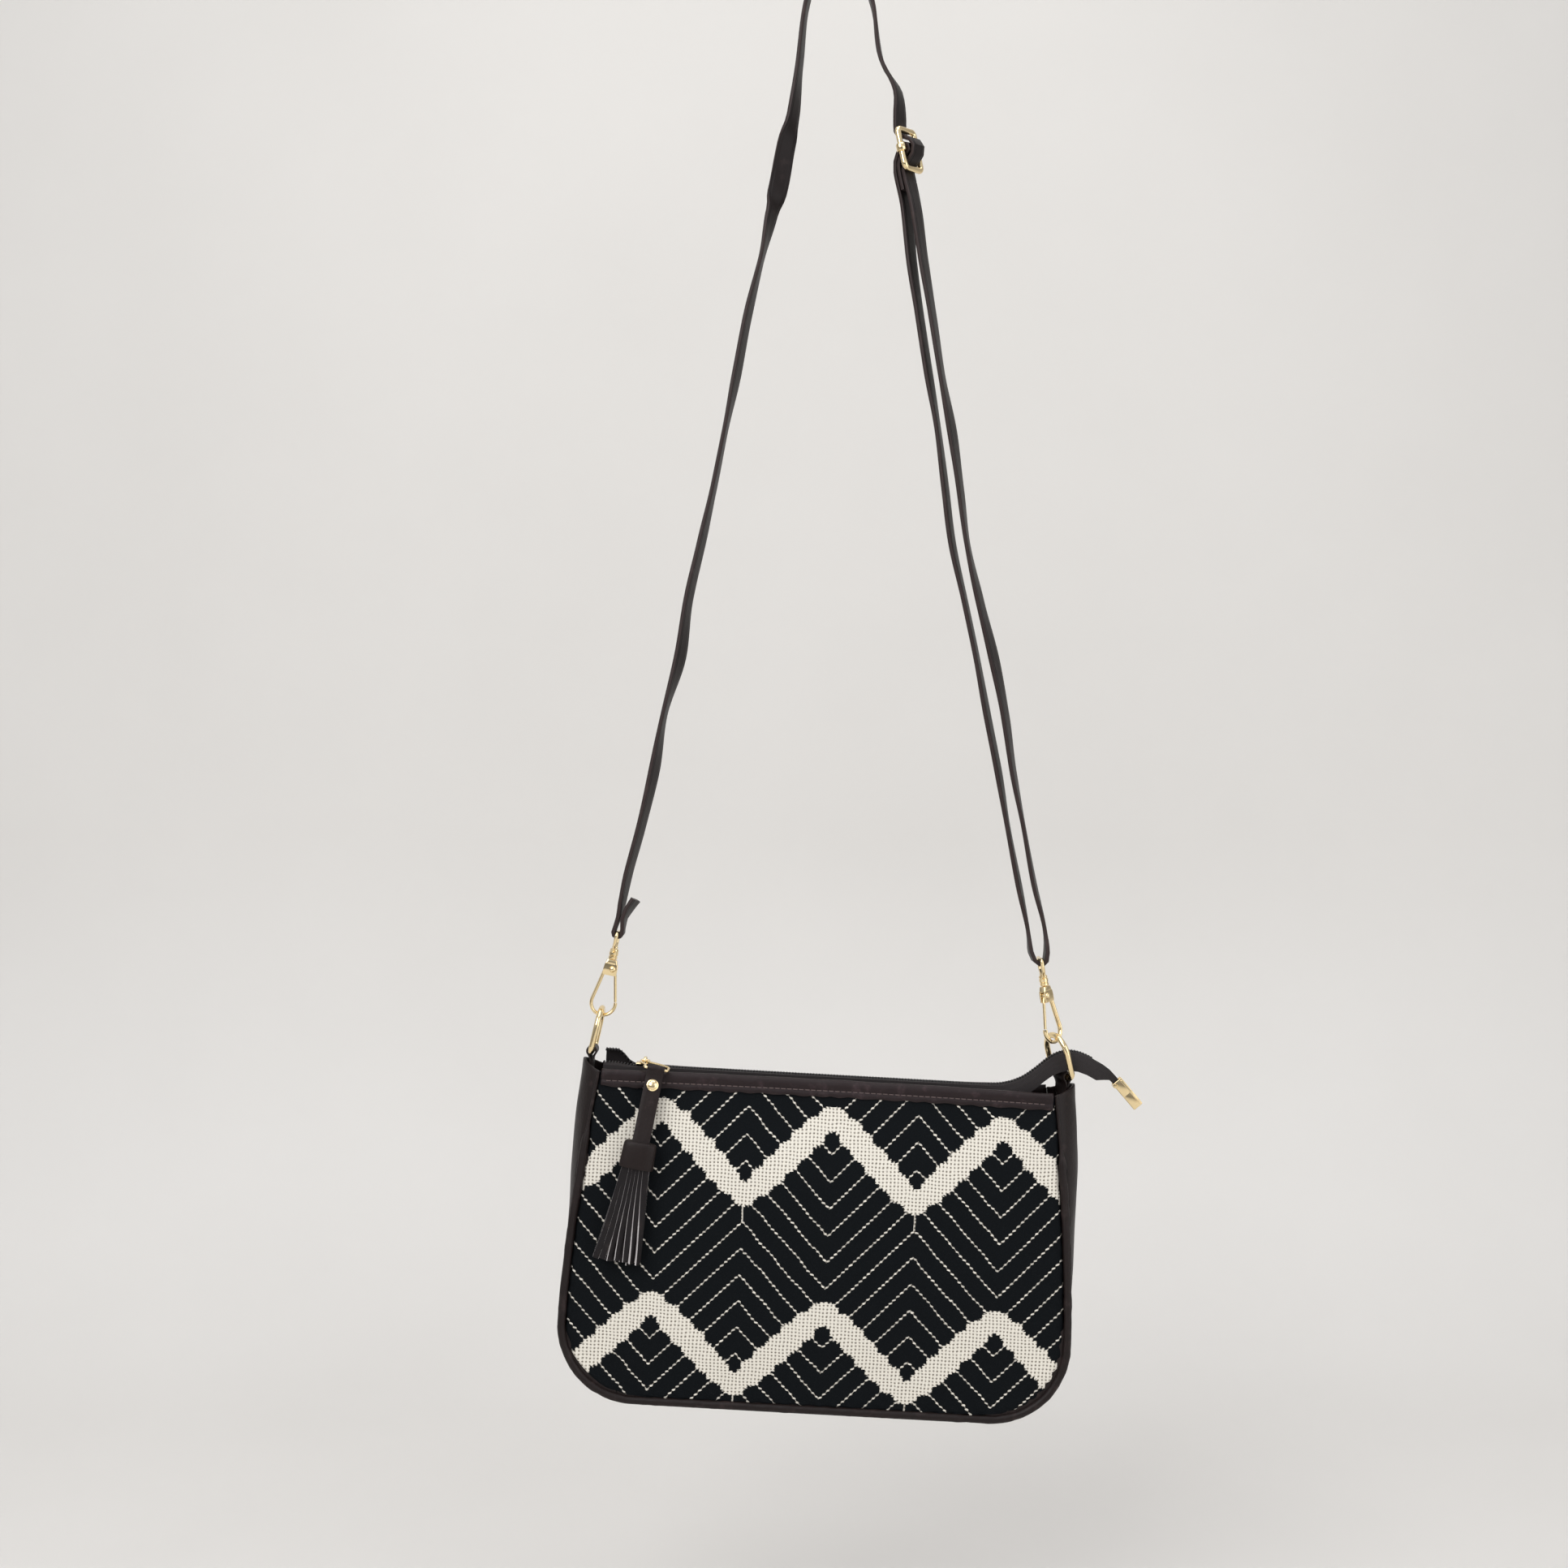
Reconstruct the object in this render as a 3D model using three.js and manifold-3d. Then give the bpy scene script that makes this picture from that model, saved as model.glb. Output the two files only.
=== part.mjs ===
// A small zipped shoulder bag that hangs by its long adjustable strap.
// Millimetres, +Z up, front towards -Y. The origin is the underside of the strap's crest.
import * as THREE from "three";
import { mergeVertices } from "three/addons/utils/BufferGeometryUtils.js";
import Module from "manifold-3d";

const wasm = await Module();
wasm.setup();

const rad = THREE.MathUtils.degToRad;
const { clamp, lerp, smoothstep } = THREE.MathUtils;
const V3 = THREE.Vector3;
const UP = new V3(0, 0, 1);

// Driving dimensions of the bag body
const gap = 0.3; // between neighbours that touch
const bagTilt = 3.15; // degrees, right end low
const bagOrigin = new V3(-6.2, 0, -558.3); // middle of the mouth's top line
const mouthHalfWidth = 113.8;
const baseHalfWidth = 124.8;
const bagHeight = 161; // mouth to the bottom piping
const cornerRadius = 37;
const mouthEndHalfDepth = 13;
const mouthMidHalfDepth = 7.6;
const baseHalfDepth = 20;
const crown = 4; // how far a panel swells
const panelThickness = 1.2;
const leather = 0.9;
const bandHeight = 8;
const pipingRadius = 2;
const pipingThinRadius = 0.8; // where the top seam swallows it
const pipingStart = 32; // below the mouth
const gussetThickness = 1.2;
const hemThickness = 2.6;
const hemDepth = 12;
const leftBulge = 7.5; // gusset past the seam at the mouth
const rightBulge = 9.5;
const baseBulge = 3;
const liningThickness = 0.7;

// Driving dimensions of the zip
const tapeWidth = 14;
const tapeThickness = 0.5;
const chainLevel = 0.6; // above the mouth's top line
const coilWidth = 1.7; // one row
const coilHeight = 1.1;
const sliderX = -92; // closed position
const sliderLength = 9;
const sliderHalfWidth = 3.4;
const sliderWall = 0.8;
const bridgeHeight = 2.9; // over the upper plate
const bridgeReach = 2.2; // posts each side of the chain
const tailStart = 72; // where the chain leaves the mouth
const clipLength = 17;
const clipWidth = 5.5;
const clipThickness = 4;

// Driving dimensions of the pull
const pullerWire = 0.65;
const pullerHalfWidth = 5.8;
const pullWidth = 8.6;
const pullLength = 36;
const pullLeather = 1; // one leaf of the fold
const pullLean = 8; // degrees in the bag's own frame
const pullOffset = 6.6; // bar's middle to the right of the slider
const rivetRadius = 2.9;
const rivetDrop = 8.2; // below the bar
const capWidth = 17;
const capDepth = 8;
const capHeight = 13;
const fringeLength = 47;
const fringeWidth = 24; // at its ends

// Driving dimensions of the strap and its hardware
const strapWidth = 10;
const strapThickness = 2;
const ringWire = 1.5;
const ringPlay = 1; // between a ring and the hook that hangs it
const ringHalfWidth = 9;
const ringHeight = 21.5; // bar to top, wire middles
const tabWidth = 10;
const tabLeather = 1;
const tabLegs = 14;
const barLevel = 7.3; // ring bars above the mouth
const leftRingLean = 9.8; // degrees, top towards the middle
const rightRingLean = 18.2;
const rightRingTurn = 24;
const bowWire = 0.9;
const bowRadius = 6.1;
const bowDepth = 1.5; // half the wire's flat
const bowTaper = 12; // degrees, each side of the pear
const pivotRise = 23.8; // bow wire to gate pivot
const headTop = 28.5;
const hookRise = 42.5; // bow wire to eye bar
const leftHookLean = 12;
const rightHookLean = -10.3;
const rightHookTurn = 225;
const eyeWire = 0.9;
const eyeHalfWidth = 6.4;
const adjusterCentre = new V3(35.4, 0, -90.3);
const adjusterHalfHeight = 10;
const adjusterHalfWidth = 7.5;
const adjusterWire = 1.35;
const adjusterLean = 12;
const adjusterTurn = 52; // degrees, bar direction from +X towards +Y

// Colours and finishes
const finish = (color, roughness, metalness = 0) =>
  new THREE.MeshStandardMaterial({ color, roughness, metalness });
const darkLeather = finish(0x382c29, 0.5);
const suede = finish(0x2c2220, 0.8);
const cloth = finish(0x14181c, 0.95);
const plainCloth = finish(0x1b1a1c, 0.95);
const tapeCloth = finish(0x1c1718, 0.85);
const gold = finish(0xc9ab63, 0.25, 1);

// A closed body through rings of points, capped flat at both ends or joined end to end.
function loft(rings, joined = false) {
  const count = rings[0].length;
  const position = rings.flat().flatMap((p) => [p.x, p.y, p.z]);
  const index = [];
  const last = joined ? rings.length : rings.length - 1;
  for (let r = 0; r < last; r++) {
    const a = r * count;
    const b = ((r + 1) % rings.length) * count;
    for (let i = 0; i < count; i++) {
      const j = (i + 1) % count;
      index.push(a + i, a + j, b + j, a + i, b + j, b + i);
    }
  }
  if (!joined) {
    index.push(...cap(rings[0], 0, true));
    index.push(...cap(rings.at(-1), (rings.length - 1) * count, false));
  }
  const geometry = new THREE.BufferGeometry();
  geometry.setAttribute("position", new THREE.Float32BufferAttribute(position, 3));
  geometry.setIndex(index);
  return outward(geometry);
}

// Triangles that close a ring, found in the ring's own plane.
function cap(ring, first, reversed) {
  const normal = new V3();
  ring.forEach((p, i) => {
    const q = ring[(i + 1) % ring.length];
    normal.add(p.clone().cross(q));
  });
  normal.normalize();
  const side = new V3(normal.y, normal.z, normal.x).cross(normal).normalize();
  const rise = normal.clone().cross(side);
  const flat = ring.map((p) => new THREE.Vector2(p.dot(side), p.dot(rise)));
  const faces = THREE.ShapeUtils.triangulateShape(flat, []);
  return faces.flatMap((f) => (reversed ? [f[0], f[2], f[1]] : f).map((i) => first + i));
}

// The same body with its faces turned to point out.
function outward(geometry) {
  const p = geometry.attributes.position;
  const index = geometry.index.array;
  const [a, b, c] = [new V3(), new V3(), new V3()];
  let volume = 0;
  for (let i = 0; i < index.length; i += 3) {
    a.fromBufferAttribute(p, index[i]);
    b.fromBufferAttribute(p, index[i + 1]);
    c.fromBufferAttribute(p, index[i + 2]);
    volume += a.dot(b.cross(c));
  }
  if (volume < 0) {
    for (let i = 0; i < index.length; i += 3) {
      [index[i + 1], index[i + 2]] = [index[i + 2], index[i + 1]];
    }
  }
  geometry.computeVertexNormals();
  return geometry;
}

const toSolid = (geometry) => {
  const bare = geometry.clone();
  bare.deleteAttribute("normal");
  bare.deleteAttribute("uv");
  const merged = mergeVertices(bare, 1e-4);
  return new wasm.Manifold(
    new wasm.Mesh({
      numProp: 3,
      vertProperties: merged.attributes.position.array,
      triVerts: new Uint32Array(merged.index.array),
    }),
  );
};

const fromSolid = (solid) => {
  const mesh = solid.getMesh();
  const geometry = new THREE.BufferGeometry();
  geometry.setAttribute("position", new THREE.BufferAttribute(mesh.vertProperties, 3));
  geometry.setIndex(new THREE.BufferAttribute(mesh.triVerts, 1));
  geometry.computeVertexNormals();
  return geometry;
};

const united = (...parts) => fromSolid(parts.map(toSolid).reduce((a, b) => a.add(b)));
const cut = (body, ...tools) =>
  fromSolid(tools.map(toSolid).reduce((a, b) => a.subtract(b), toSolid(body)));

const box = (x0, x1, y0, y1, z0, z1) =>
  new THREE.BoxGeometry(x1 - x0, y1 - y0, z1 - z0).translate(
    (x0 + x1) / 2,
    (y0 + y1) / 2,
    (z0 + z1) / 2,
  );

// A round bar from one point to another.
function rod(from, to, radius, sides = 12) {
  const axis = to.clone().sub(from);
  const turn = new THREE.Quaternion().setFromUnitVectors(
    new V3(0, 1, 0),
    axis.clone().normalize(),
  );
  return new THREE.CylinderGeometry(radius, radius, axis.length(), sides)
    .applyQuaternion(turn)
    .translate((from.x + to.x) / 2, (from.y + to.y) / 2, (from.z + to.z) / 2);
}

// A wire of constant section swept along points that lie in one plane.
function wire(points, planeNormal, inPlane, across, joined, sides = 8) {
  const rings = points.map((p, i) => {
    const n = points.length;
    const before = joined ? points[(i + n - 1) % n] : points[Math.max(i - 1, 0)];
    const after = joined ? points[(i + 1) % n] : points[Math.min(i + 1, n - 1)];
    const along = after.clone().sub(before).normalize();
    const out = along.clone().cross(planeNormal).normalize();
    return Array.from({ length: sides }, (_, k) => {
      const a = ((k + 0.5) / sides) * Math.PI * 2;
      return p
        .clone()
        .addScaledVector(out, inPlane * Math.cos(a))
        .addScaledVector(planeNormal, across * Math.sin(a));
    });
  });
  return loft(rings, joined);
}

const arc = (cx, cz, r, from, to, steps) =>
  Array.from({ length: steps + 1 }, (_, i) => {
    const a = rad(lerp(from, to, i / steps));
    return [cx + r * Math.cos(a), cz + r * Math.sin(a)];
  });

const part = new THREE.Group();
const bag = new THREE.Group();
bag.position.copy(bagOrigin);
bag.rotation.y = rad(bagTilt);
part.add(bag);

function add(group, name, geometry, material) {
  const mesh = new THREE.Mesh(geometry, material);
  mesh.name = name;
  group.add(mesh);
  return mesh;
}

// Outline of the bag: half width and half depth at a height below the mouth (z from 0 down)
const cornerTop = cornerRadius - bagHeight;
function halfWidthAt(z) {
  if (z < cornerTop) {
    const drop = clamp((cornerTop - z) / cornerRadius, 0, 1);
    return baseHalfWidth - cornerRadius * (1 - Math.sqrt(1 - drop * drop));
  }
  const q = clamp(z / cornerTop, 0, 1);
  return lerp(mouthHalfWidth, baseHalfWidth, 1 - (1 - q) ** 1.6);
}
const rimHalfDepthAt = (z) =>
  lerp(mouthEndHalfDepth, baseHalfDepth, Math.sin((Math.PI / 2) * clamp(-z / 130, 0, 1)));

// Half depth of the panel's outer face: pinched along the mouth, crowned below it
function halfDepthAt(x, z) {
  const pinch = (mouthEndHalfDepth - mouthMidHalfDepth) * (1 - smoothstep(-z, 0, 55));
  const swell = crown * Math.sin(Math.PI * clamp(-z / bagHeight, 0, 1)) - pinch;
  const across = clamp(Math.abs(x) / halfWidthAt(z), 0, 1);
  return rimHalfDepthAt(z) + swell * (1 - across * across);
}

const pipingRadiusAt = (z) =>
  lerp(pipingThinRadius, pipingRadius, smoothstep(-z, pipingStart - 6, pipingStart + 4));

// Heights of the panel's rows, close together round the bottom corners
const sideLevels = [9, 20, 34, 50, 68, 88, 108];
const cornerSteps = 6;
const cornerLevels = Array.from(
  { length: cornerSteps + 1 },
  (_, i) => cornerTop - cornerRadius * Math.sin((i / cornerSteps) * (Math.PI / 2)),
);
const levels = [...sideLevels.map((h) => -h), ...cornerLevels];

// The rim's points from the left of the mouth, round the bottom, to the right
function rimPoints() {
  const side = [-1, ...levels].map((z) => [halfWidthAt(z), z]);
  const flat = baseHalfWidth - cornerRadius;
  const bottom = [0.66, 0.33, 0].map((f) => [flat * f, -bagHeight]);
  const right = [...side, ...bottom];
  const left = right.slice(0, -1).map(([x, z]) => [-x, z]);
  const all = [...left, ...right.reverse()];
  return all.map(([x, z], i) => {
    const [bx, bz] = all[Math.max(i - 1, 0)];
    const [ax, az] = all[Math.min(i + 1, all.length - 1)];
    const length = Math.hypot(ax - bx, az - bz);
    return { x, z, nx: (az - bz) / length, nz: -(ax - bx) / length };
  });
}
const rim = rimPoints();

// front is -1 for the front of the bag, 1 for the back
function panel(front) {
  const columns = 14;
  const inset = (z) => pipingRadiusAt(z) + gap;
  const rows = [-leather - gap - 0.1, ...levels].map((z) => {
    const half = halfWidthAt(z) - inset(z);
    const sunk = clamp((cornerTop - z) / cornerRadius, 0, 1) * inset(z);
    return Array.from({ length: columns + 1 }, (_, i) => {
      const x = half * (1 - (2 * i) / columns);
      return { x, z: z + sunk, depth: halfDepthAt(x, z) };
    });
  });
  const ringOf = (column) => {
    const outer = rows.map((row) => {
      const p = row[column];
      return new V3(p.x, front * p.depth, p.z);
    });
    const inner = rows.map((row) => {
      const p = row[column];
      return new V3(p.x, front * (p.depth - panelThickness), p.z);
    });
    return [...outer, ...inner.reverse()];
  };
  return loft(Array.from({ length: columns + 1 }, (_, i) => ringOf(i)));
}

function piping(front) {
  const sides = 6;
  const rings = rim.map((p) => {
    const r = pipingRadiusAt(p.z);
    const y = front * (rimHalfDepthAt(p.z) - 0.2);
    return Array.from({ length: sides }, (_, k) => {
      const a = ((k + 0.5) / sides) * Math.PI * 2;
      const out = r * Math.cos(a);
      return new V3(p.x + p.nx * out, y + r * Math.sin(a), p.z + p.nz * out);
    });
  });
  return loft(rings);
}

// How far the gusset swells past the seam
function bulgeAt(p) {
  const top = p.x < 0 ? leftBulge : rightBulge;
  const side = top * (1 - smoothstep(-p.z, 0, p.x < 0 ? 115 : 150)) + 0.6;
  const bottom = baseBulge * smoothstep(-p.z, bagHeight - 8, bagHeight);
  return Math.max(side * (p.z > cornerTop - 30 ? 1 : 0.5), bottom);
}

function gusset() {
  const steps = 8;
  const rings = rim.map((p) => {
    const reach = rimHalfDepthAt(p.z) - 0.2 - pipingRadiusAt(p.z) - gap;
    const bulge = bulgeAt(p);
    const hem = 1 - smoothstep(-p.z, hemDepth - 2, hemDepth + 6);
    const wall = lerp(gussetThickness, hemThickness, hem);
    const across = (out) =>
      Array.from({ length: steps + 1 }, (_, i) => {
        const v = 1 - (2 * i) / steps;
        const away = bulge * (1 - v * v) + out;
        const rise = p.z > -2 ? 3 * (1 - v * v) : 0;
        return new V3(p.x + p.nx * away, v * reach, p.z + p.nz * away + rise);
      });
    return [...across(wall), ...across(0).reverse()];
  });
  return loft(rings);
}

// Folded leather over a panel's top edge, with a slot that the edge sits in
const bandReach = mouthHalfWidth - pipingThinRadius - gap - 0.2;
const bandSlot = panelThickness + 2 * gap;
function topBand(front) {
  const half = bandSlot / 2;
  const out = half + leather;
  const profile = [
    [half, -bandHeight],
    [out, -bandHeight],
    [out + 0.3, -bandHeight * 0.75],
    [out, -bandHeight * 0.5],
    [out + 0.35, -bandHeight * 0.27],
    [out * 0.8, -0.3],
    [0, 0],
    [-out * 0.8, -0.3],
    [-out, -bandHeight * 0.3],
    [-out, 1 - bandHeight],
    [-half, 1 - bandHeight],
    [-half, -leather],
    [half, -leather],
  ];
  const steps = 14;
  const rings = Array.from({ length: steps + 1 }, (_, i) => {
    const x = bandReach * ((2 * i) / steps - 1);
    return profile.map(([away, z]) => {
      const middle = halfDepthAt(x, Math.min(z, -leather)) - panelThickness / 2;
      return new V3(x, front * (middle + away), z);
    });
  });
  return loft(rings);
}

add(bag, "front_panel", panel(-1), cloth);
add(bag, "back_panel", panel(1), darkLeather);
add(bag, "front_piping", piping(-1), darkLeather);
add(bag, "back_piping", piping(1), darkLeather);
add(bag, "gusset", gusset(), darkLeather);
add(bag, "front_top_band", topBand(-1), darkLeather);
add(bag, "back_top_band", topBand(1), darkLeather);

// The lining hangs inside the shell like a pocket, open at the top
function lining() {
  const inset = 3.5;
  const top = -bandHeight - 2;
  const heights = [top, -30, -60, -95, cornerTop, ...cornerLevels.slice(2)];
  const floor = inset - bagHeight;
  const ringAt = (z, wall) => {
    const level = Math.max(z, floor) + (z <= floor ? wall : 0);
    const half = halfWidthAt(Math.max(z, floor) - inset) - inset - wall;
    const columns = 8;
    const side = (front) =>
      Array.from({ length: columns + 1 }, (_, i) => {
        const x = half * (1 - (2 * i) / columns);
        const y = halfDepthAt(x, Math.min(level, top)) - panelThickness - 0.5 - wall;
        return new V3(x, front * y, level);
      });
    return [...side(-1), ...side(1).reverse()];
  };
  const outer = heights.map((z) => ringAt(z, 0));
  const inner = heights.map((z) => ringAt(z, liningThickness));
  return loft([...inner.reverse(), ...outer]);
}

// The zip's middle line past the mouth, where its free tail stands up and bends over
const tail = new THREE.CatmullRomCurve3(
  [
    [tailStart, chainLevel],
    [tailStart + 16, chainLevel + 0.9],
    [98, 5],
    [105, 10.2],
    [113, 17],
    [121, 19.8],
    [130, 18],
    [139, 12.6],
    [145, 6.9],
    [150.5, 1],
  ].map(([x, z]) => new V3(x, 0, z)),
);
const clipTurn = 47; // degrees, the clip's fall
const tailEnd = tail.getPoint(1);

// Stations of the zip from its parted left ends to the tip of the tail
const chainStations = [
  ...[-112.5, -109, -106, -103, -100, -96, -92, -88, -80].map((x) => [x, chainLevel]),
  ...[-60, -40, -20, 0, 20, 40, 56].map((x) => [x, chainLevel]),
  ...Array.from({ length: 19 }, (_, i) => {
    const p = tail.getPoint(i / 18);
    return [p.x, p.z];
  }),
];
const coilEnd = 133;
const partedAt = (x) => smoothstep(sliderX + 1 - x, 0, 15);
const liftAt = (x, front) =>
  smoothstep(sliderX - sliderLength / 2 - 0.2 - x, 0, 10) * (front > 0 ? 7 : 1.4);
const bandInnerAt = (x) => halfDepthAt(x, -3) - panelThickness / 2 - bandSlot / 2 - leather;

// A tape's section: beside the coil, out past the slider, down into a fold, up to the band
function tapeSection([x, z], front) {
  const parted = partedAt(x);
  const level = z + liftAt(x, front);
  const reach = sliderHalfWidth + 0.5;
  const start = coilWidth + 0.2 + gap;
  const edge = bandInnerAt(clamp(x, -bandReach, bandReach)) - gap - tapeThickness / 2;
  const spare = tapeWidth - (reach - start);
  const span = edge - reach;
  const drop = 0.5 * Math.sqrt(Math.max(spare * spare - span * span, 4));
  const free = smoothstep(x, tailStart, tailStart + 22);
  const pinched = smoothstep(x, 134, 144);
  const inMouth = [
    [start + 2.6 * parted, level],
    [reach + 2.6 * parted, level - parted],
    [lerp(reach, edge, 0.3) + 1.6 * parted, -1 - drop * (0.8 - 0.6 * parted)],
    [lerp(reach, edge, 0.75) + 0.3 * parted, -1 - drop * (1 - 0.4 * parted)],
    [edge, -2],
  ];
  const onTail = [
    [start, level],
    [3.2, level - 0.6],
    [4.6, level - 3.4],
    [5.3, level - 6.2],
    [5.6, level - 9],
  ];
  const inClip = [2, 1, -0.2, -1.4, -2.8].map((up) => [0.75, level + up]);
  return inMouth.map((p, i) =>
    p.map((v, k) => lerp(lerp(v, onTail[i][k], free), inClip[i][k], pinched)),
  );
}

// A strip of constant thickness round an open line of points
function ribbon(line, thickness) {
  const offset = (sign) =>
    line.map(([y, z], i) => {
      const [by, bz] = line[Math.max(i - 1, 0)];
      const [ay, az] = line[Math.min(i + 1, line.length - 1)];
      const length = Math.hypot(ay - by, az - bz);
      const half = (sign * thickness) / 2;
      return [y - ((az - bz) / length) * half, z + ((ay - by) / length) * half];
    });
  return [...offset(1), ...offset(-1).reverse()];
}

const zipTape = (front) =>
  loft(
    chainStations.map((station) =>
      ribbon(tapeSection(station, front), tapeThickness).map(
        ([y, z]) => new V3(station[0], front * y, z),
      ),
    ),
  );

// One row of the coil, parted to the left of the slider
const zipCoil = (front) =>
  loft(
    chainStations
      .filter(([x]) => x < coilEnd)
      .map(([x, z]) => {
        const inner = 0.15 + 2.6 * partedAt(x);
        const level = z + liftAt(x, front);
        const half = coilHeight / 2;
        return [
          [inner, half * 0.6],
          [inner + coilWidth / 2, half],
          [inner + coilWidth, half * 0.6],
          [inner + coilWidth, -half * 0.6],
          [inner + coilWidth / 2, -half],
          [inner, -half * 0.6],
        ].map(([y, up]) => new V3(x, front * y, level + up));
      }),
  );

// A folded metal clip over the tail's end
function endClip() {
  const slot = 9;
  const body = new THREE.BoxGeometry(clipLength, clipThickness, clipWidth);
  const opening = box(-clipLength / 2 - 1, slot - clipLength / 2, -1.3, 1.3, -9, clipWidth / 2 - 0.8);
  const boss = new THREE.CylinderGeometry(1.1, 1.1, clipThickness + 1, 12);
  boss.translate(1.5 - clipLength / 2, 0, -clipWidth / 2 + 0.4);
  return cut(united(body, boss), opening)
    .translate(clipLength / 2 - 7, 0, 0.3)
    .rotateY(rad(clipTurn))
    .translate(tailEnd.x, 0, tailEnd.z);
}

// Slider: two plates round the coil, a wedge between the parting rows, a bridge on top
const upperPlate = coilHeight / 2 + 0.35;
function zipSlider() {
  const half = sliderLength / 2;
  const plate = (z) => {
    const shape = new THREE.Shape();
    shape.moveTo(half, -sliderHalfWidth * 0.72);
    shape.lineTo(half, sliderHalfWidth * 0.72);
    shape.lineTo(0, sliderHalfWidth);
    shape.lineTo(-half, sliderHalfWidth);
    shape.lineTo(-half, -sliderHalfWidth);
    shape.lineTo(0, -sliderHalfWidth);
    return new THREE.ExtrudeGeometry(shape, { depth: sliderWall, bevelEnabled: false })
      .translate(0, 0, z);
  };
  const rise = upperPlate + sliderWall;
  const wedge = new THREE.CylinderGeometry(0.45, 0.45, 2 * upperPlate + 0.4, 8)
    .rotateX(Math.PI / 2)
    .translate(0.5 - half, 0, 0);
  const top = rise + bridgeHeight;
  const post = (y) => box(-0.8, 0.8, y - 0.6, y + 0.6, rise - 0.2, top - 0.2);
  const bar = box(-0.8, 0.8, -bridgeReach - 0.6, bridgeReach + 0.6, top - 0.9, top);
  return united(
    plate(upperPlate),
    plate(-upperPlate - sliderWall),
    wedge,
    post(-bridgeReach),
    post(bridgeReach),
    bar,
  );
}

const slider = new THREE.Group();
slider.position.set(sliderX, 0, chainLevel);
bag.add(slider);

// The puller's hinge lies under the bridge, and its bar stands in front of the band
const pullerPivot = upperPlate + sliderWall + pullerWire + 0.35;
const pullBar = new V3(pullOffset, -15, 1.2);
const puller = new THREE.Group();
slider.add(puller);
function pullerLoop() {
  const [neck, half] = [1.95, pullerHalfWidth];
  const outline = [
    [-neck + 0.3, 0],
    [neck - 0.3, 0],
    [neck, -0.4],
    [neck, -3.6],
    [pullOffset + half, -10],
    [pullOffset + half, pullBar.y + 0.6],
    [pullOffset + half - 0.6, pullBar.y],
    [pullOffset - half + 0.6, pullBar.y],
    [pullOffset - half, pullBar.y + 0.6],
    [pullOffset - half, -10],
    [-neck, -3.6],
    [-neck, -0.4],
  ];
  const points = outline.map(([x, y]) => {
    const reach = y / pullBar.y;
    const lean = (pullOffset - x) * Math.tan(rad(pullLean));
    return new V3(x, y, lerp(pullerPivot, pullBar.z + lean, reach));
  });
  return wire(points, UP, pullerWire, pullerWire, true);
}

// Leather folded round a bar: an eye and two leaves that lie together
function foldedStrip(barRadius, leaf, legs, width) {
  const eye = barRadius + gap;
  const out = eye + leaf;
  const shape = new THREE.Shape();
  const neck = Math.sqrt(out * out - leaf * leaf);
  shape.moveTo(leaf, -legs);
  shape.lineTo(leaf, -neck);
  for (const [x, z] of arc(0, 0, out, -60, 240, 10)) shape.lineTo(x, z);
  shape.lineTo(-leaf, -neck);
  shape.lineTo(-leaf, -legs);
  const hole = new THREE.Path();
  arc(0, 0, eye, 0, 324, 9).forEach(([x, z], i) => (i ? hole.lineTo(x, z) : hole.moveTo(x, z)));
  hole.closePath();
  shape.holes.push(hole);
  return new THREE.ExtrudeGeometry(shape, { depth: width, bevelEnabled: false })
    .translate(0, 0, -width / 2)
    .rotateX(Math.PI / 2);
}

// The pull hangs from the bar, leans out over the panel and carries the tassel
const pull = new THREE.Group();
pull.position.copy(pullBar);
pull.rotation.y = rad(pullLean);
puller.add(pull);
const pullSlope = 14.5; // degrees out from the bag
const tasselSlope = 2.5;
const capTop = new V3(0, -pullLength * Math.sin(rad(pullSlope)), -pullLength * Math.cos(rad(pullSlope)));
const rivetBore = 1.3;

function pullStrap() {
  const strip = foldedStrip(pullerWire, pullLeather, pullLength + 3, pullWidth)
    .rotateZ(Math.PI / 2)
    .rotateX(-rad(pullSlope));
  const bore = new THREE.CylinderGeometry(rivetBore, rivetBore, 9, 12)
    .translate(0, 0, -rivetDrop)
    .rotateX(-rad(pullSlope));
  return cut(fromSolid(toSolid(strip)), bore);
}

// A domed head in front, a post through the leaves and a flat foot behind
function rivet(head, foot, post, face) {
  const profile = [
    [0, face + head * 0.42],
    [head * 0.45, face + head * 0.38],
    [head * 0.85, face + head * 0.18],
    [head, face + 0.1],
    [head, face],
    [post, face],
    [post, -face],
    [foot, -face],
    [foot, -face - 0.5],
    [0, -face - 0.5],
  ].reverse();
  const points = profile.map(([r, y]) => new THREE.Vector2(r, y));
  return outward(mergeVertices(bare(new THREE.LatheGeometry(points, 14)), 1e-4));
}
function bare(geometry) {
  geometry.deleteAttribute("normal");
  geometry.deleteAttribute("uv");
  return geometry;
}

const ellipse = (rx, ry, z, count = 20) =>
  Array.from({ length: count }, (_, i) => {
    const a = (i / count) * Math.PI * 2;
    return new V3(rx * Math.cos(a), ry * Math.sin(a), z);
  });

// The rolled cap, open below, slotted on top for the pull
function tasselCap() {
  const wall = 1;
  const [rx, ry] = [capWidth / 2, capDepth / 2];
  const shell = loft([
    ellipse(rx * 0.86, ry * 0.8, 0),
    ellipse(rx * 0.93, ry * 0.95, -1),
    ellipse(rx * 0.97, ry, -5),
    ellipse(rx, ry, -capHeight),
  ]);
  const hollow = loft([ellipse(rx - wall, ry - wall, -2.2), ellipse(rx - wall, ry - wall, -capHeight - 1)]);
  const slot = box(-pullWidth / 2 - gap, pullWidth / 2 + gap, -pullLeather - 0.7, pullLeather + 0.7, -4, 1);
  return cut(shell, hollow, slot);
}

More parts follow.
